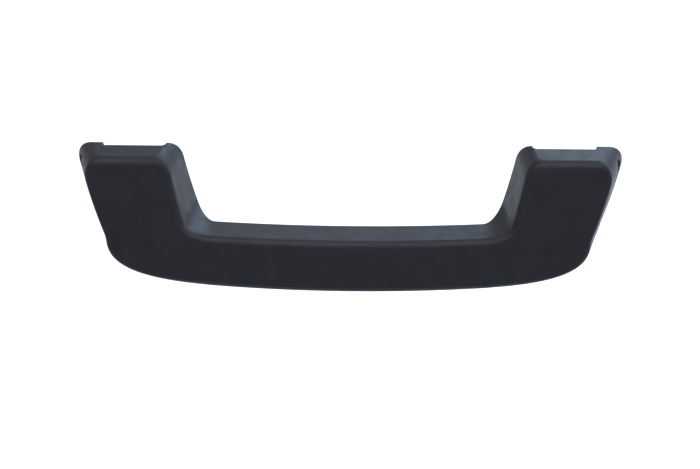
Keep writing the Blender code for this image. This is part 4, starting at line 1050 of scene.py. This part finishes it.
class Nodes:
    """Builds one procedural surface around a Principled shader."""

    def __init__(self, name):
        self.material = bpy.data.materials.new(name)
        self.material.use_nodes = True
        self.tree = self.material.node_tree
        self.shader = self.tree.nodes["Principled BSDF"]
        self.place = self.add("ShaderNodeTexCoord").outputs["Object"]

    def add(self, kind, **settings):
        node = self.tree.nodes.new(kind)
        for key, value in settings.items():
            setattr(node, key, value)
        return node

    def link(self, source, socket):
        self.tree.links.new(source, socket)

    def feed(self, socket, value):
        if isinstance(value, bpy.types.NodeSocket):
            self.link(value, socket)
        else:
            socket.default_value = value

    def noise(self, size, detail=3.0, stretch=None):
        """Noise whose features are about the given size, optionally stretched along the axes."""
        node = self.add("ShaderNodeTexNoise")
        node.inputs["Scale"].default_value = 1.0 / size
        node.inputs["Detail"].default_value = detail
        place = self.place
        if stretch:
            mapping = self.add("ShaderNodeMapping")
            mapping.inputs["Scale"].default_value = stretch
            self.link(place, mapping.inputs["Vector"])
            place = mapping.outputs["Vector"]
        self.link(place, node.inputs["Vector"])
        return node.outputs["Fac"]

    def cells(self, size):
        node = self.add("ShaderNodeTexVoronoi")
        node.inputs["Scale"].default_value = 1.0 / size
        self.link(self.place, node.inputs["Vector"])
        return node.outputs["Distance"], node.outputs["Color"]

    def ramp(self, value, from_low, from_high, to_low=0.0, to_high=1.0):
        node = self.add("ShaderNodeMapRange")
        for socket, number in zip(node.inputs[1:5], (from_low, from_high, to_low, to_high)):
            socket.default_value = number
        self.link(value, node.inputs[0])
        return node.outputs[0]

    def maths(self, operation, a, b):
        node = self.add("ShaderNodeMath", operation=operation)
        self.feed(node.inputs[0], a)
        self.feed(node.inputs[1], b)
        return node.outputs[0]

    def blend(self, share, a, b):
        node = self.add("ShaderNodeMix", data_type="RGBA")
        self.feed(node.inputs[0], share)
        self.feed(node.inputs[6], (*a, 1.0) if isinstance(a, tuple) else a)
        self.feed(node.inputs[7], (*b, 1.0) if isinstance(b, tuple) else b)
        return node.outputs[2]

    def bump(self, height, distance, strength=1.0, normal=None):
        node = self.add("ShaderNodeBump")
        node.inputs["Strength"].default_value = strength
        node.inputs["Distance"].default_value = distance
        self.link(height, node.inputs["Height"])
        if normal:
            self.link(normal, node.inputs["Normal"])
        return node.outputs["Normal"]

    def worn_edges(self):
        """1 on convex edges, 0 on flats and in hollows."""
        geometry = self.add("ShaderNodeNewGeometry")
        return self.ramp(geometry.outputs["Pointiness"], 0.52, 0.60)

    def finish(self, colour, roughness, normal, metallic=0.0, specular=0.5, tint=None):
        self.feed(self.shader.inputs["Base Color"], colour)
        self.feed(self.shader.inputs["Roughness"], roughness)
        self.link(normal, self.shader.inputs["Normal"])
        self.shader.inputs["Metallic"].default_value = metallic
        self.shader.inputs["Specular IOR Level"].default_value = specular
        if tint:
            self.shader.inputs["Specular Tint"].default_value = (*tint, 1.0)
        return self.material


def moulded_plastic(name, dark, light, roughness, grain, depth, specular, tint=(1.0, 1.0, 1.0)):
    """Matt moulded plastic: leather-like grain, cloudy gloss, paler edges and a few specks of dust."""
    nodes = Nodes(name)
    cell, _ = nodes.cells(grain)
    fine = nodes.noise(grain * 0.55, 2.0)
    height = nodes.maths("ADD", nodes.maths("MULTIPLY", cell, 0.6), fine)
    waves = nodes.bump(nodes.noise(14.0 * MM, 2.0), 0.05 * MM, 0.6)
    normal = nodes.bump(height, depth, 1.0, waves)
    cloud = nodes.noise(9.0 * MM, 4.0)
    colour = nodes.blend(nodes.ramp(cloud, 0.35, 0.65), dark, light)
    worn = nodes.maths("MULTIPLY", nodes.worn_edges(), nodes.ramp(fine, 0.4, 0.65, 0.05, 0.35))
    colour = nodes.blend(worn, colour, tuple(c * 2.6 for c in light))
    speck, pick = nodes.cells(2.6 * MM)
    chosen = nodes.add("ShaderNodeSeparateColor")
    nodes.link(pick, chosen.inputs[0])
    rare = nodes.ramp(chosen.outputs[0], 0.90, 0.91)
    dust = nodes.maths("MULTIPLY", rare, nodes.ramp(speck, 0.035, 0.06, 1.0, 0.0))
    colour = nodes.blend(nodes.maths("MULTIPLY", dust, 0.35), colour, (0.30, 0.30, 0.32))
    gloss = nodes.ramp(nodes.noise(5.0 * MM, 5.0), 0.3, 0.7, roughness - 0.05, roughness + 0.06)
    gloss = nodes.maths("ADD", gloss, nodes.ramp(fine, 0.3, 0.7, -0.04, 0.04))
    return nodes.finish(colour, gloss, normal, 0.0, specular, tint)


def smooth_plastic(name, dark, light, roughness):
    """Unfilled bearing plastic: faint flow lines and handling scuffs."""
    nodes = Nodes(name)
    flow = nodes.noise(1.2 * MM, 4.0, (1.0, 0.35, 1.0))
    colour = nodes.blend(nodes.ramp(flow, 0.35, 0.65), dark, light)
    worn = nodes.maths("MULTIPLY", nodes.worn_edges(), 0.25)
    colour = nodes.blend(worn, colour, tuple(min(1.0, c * 1.3) for c in light))
    gloss = nodes.ramp(nodes.noise(0.8 * MM, 4.0), 0.3, 0.7, roughness - 0.07, roughness + 0.08)
    return nodes.finish(colour, gloss, nodes.bump(flow, 0.012 * MM, 0.7))


def rubber_surface(name):
    """Dull rubber with a bloom of pale powder in places."""
    nodes = Nodes(name)
    pores = nodes.noise(0.18 * MM, 3.0)
    bloom = nodes.ramp(nodes.noise(2.2 * MM, 4.0), 0.5, 0.75, 0.0, 0.5)
    colour = nodes.blend(bloom, (0.010, 0.010, 0.011), (0.045, 0.045, 0.047))
    gloss = nodes.ramp(pores, 0.3, 0.7, 0.74, 0.90)
    return nodes.finish(colour, gloss, nodes.bump(pores, 0.03 * MM, 0.9), 0.0, 0.25)


def metal_surface(name, dark, light, roughness, size, stretch, depth=0.006 * MM):
    """Worked steel: drawn or rolled lines, uneven gloss, and brighter rubbed edges."""
    nodes = Nodes(name)
    lines = nodes.noise(size, 5.0, stretch)
    stain = nodes.noise(3.5 * MM, 5.0)
    colour = nodes.blend(nodes.ramp(stain, 0.35, 0.65), dark, light)
    colour = nodes.blend(nodes.maths("MULTIPLY", nodes.worn_edges(), 0.5), colour,
                         tuple(min(1.0, c * 1.35) for c in light))
    gloss = nodes.maths("ADD", nodes.ramp(lines, 0.3, 0.7, roughness - 0.08, roughness + 0.08),
                        nodes.ramp(stain, 0.3, 0.7, -0.03, 0.06))
    return nodes.finish(colour, gloss, nodes.bump(lines, depth, 0.8), 1.0)


def make_surfaces():
    """One procedural surface for each material slot of the record."""
    return {
        # painted reflection colour: the shell's reflections are tinted blue, standing in for the bluish
        # light around it
        "shell_plastic": moulded_plastic(
            "shell_surface", (0.0140, 0.0132, 0.0168), (0.0165, 0.0156, 0.0196),
            0.50, 0.42 * MM, 0.010 * MM, 0.19, (0.86, 0.93, 1.0)),
        "rear_plastic": moulded_plastic(
            "rear_surface", (0.0110, 0.0110, 0.0130), (0.0150, 0.0150, 0.0175),
            0.54, 0.50 * MM, 0.014 * MM, 0.30),
        "bracket_plastic": moulded_plastic(
            "bracket_surface", (0.0180, 0.0180, 0.0190), (0.0240, 0.0240, 0.0250),
            0.44, 0.30 * MM, 0.006 * MM, 0.45),
        "cover_plastic": moulded_plastic(
            "cover_surface", (0.0140, 0.0140, 0.0160), (0.0180, 0.0180, 0.0200),
            0.48, 0.40 * MM, 0.010 * MM, 0.35),
        "bush_plastic": smooth_plastic("bush_surface", (0.58, 0.56, 0.49), (0.68, 0.66, 0.59), 0.38),
        "damper_plastic": smooth_plastic(
            "damper_surface", (0.035, 0.035, 0.037), (0.050, 0.050, 0.053), 0.34),
        "rubber": rubber_surface("rubber_surface"),
        "pin_steel": metal_surface(
            "pin_surface", (0.50, 0.50, 0.51), (0.62, 0.62, 0.63), 0.24, 0.25 * MM, (0.08, 1.0, 1.0)),
        "sheet_steel": metal_surface(
            "sheet_surface", (0.36, 0.36, 0.37), (0.50, 0.50, 0.50), 0.38, 0.4 * MM, (0.10, 1.0, 1.0)),
        "spring_steel": metal_surface(
            "spring_surface", (0.22, 0.22, 0.24), (0.34, 0.34, 0.36), 0.30, 0.2 * MM, (1.0, 0.3, 0.3)),
        "zinc_plate": metal_surface(
            "zinc_surface", (0.52, 0.53, 0.55), (0.68, 0.69, 0.71), 0.30, 0.35 * MM, (1.0, 1.0, 1.0)),
    }


# ------------------------------------------------------------------ assembly

def side_pieces(side_name, side):
    """The pieces of one arm's end, as (object, material slot, CAD node, body)."""
    spot = SCREW_SPOTS[side_name]
    bushes = [(make_bush(side_name, which), "bush_plastic", f"hinge_bush_{side_name}_{which}", "brackets")
              for which in ("inner", "outer")]
    return bushes + [
        (make_bumper_pad(side_name), "rubber", f"bumper_pad_{side_name}", "handle"),
        (make_hinge_pin(side_name, side), "pin_steel", f"hinge_pin_{side_name}", "handle"),
        (make_bracket(side_name, side), "bracket_plastic", f"bracket_{side_name}", "brackets"),
        (make_sleeve(side_name, spot), "sheet_steel", f"screw_sleeve_{side_name}", "brackets"),
        (make_washer(side_name, spot), "zinc_plate", f"screw_washer_{side_name}", "brackets"),
        (make_mounting_screw(side_name, spot), "zinc_plate", f"mounting_screw_{side_name}", "brackets"),
        (make_cover(side_name, spot), "cover_plastic", f"screw_cover_{side_name}", "brackets"),
    ]


def dress(obj, slot, node, surfaces):
    """Give a finished piece its surface, and hide the CAD node it replaces."""
    obj.data.materials.clear()
    obj.data.materials.append(surfaces[slot])
    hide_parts(node)


def build():
    surfaces = make_surfaces()
    rigid = [
        (make_damper_cup(), "damper_plastic", "damper_housing", "brackets"),
        (make_damper_cap(), "damper_plastic", "damper_cap", "brackets"),
        (make_damper_seal(), "rubber", "damper_seal", "brackets"),
        (make_damper_rotor(), "bush_plastic", "damper_rotor", "handle"),
        (make_front_shell(), "shell_plastic", "handle_front_shell", "handle"),
        (make_rear_shell(), "rear_plastic", "handle_rear_shell", "handle"),
        (make_core(), "sheet_steel", "grip_core", "handle"),
    ]
    rigid += [(make_shell_screw(i, spot), "zinc_plate", f"shell_screw_{i}", "handle")
              for i, spot in enumerate(SHELL_SCREW_SPOTS, 1)]
    rigid += side_pieces("left", -1) + side_pieces("right", 1)
    for obj, slot, node, body in rigid:
        dress(obj, slot, node, surfaces)
        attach(obj, body)
    spring, spring_start, spring_end = make_spring()
    dress(spring, "spring_steel", "return_spring", surfaces)
    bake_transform(spring)
    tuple(spring_start)
    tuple(spring_end)


make_camera()
make_stage()
build()
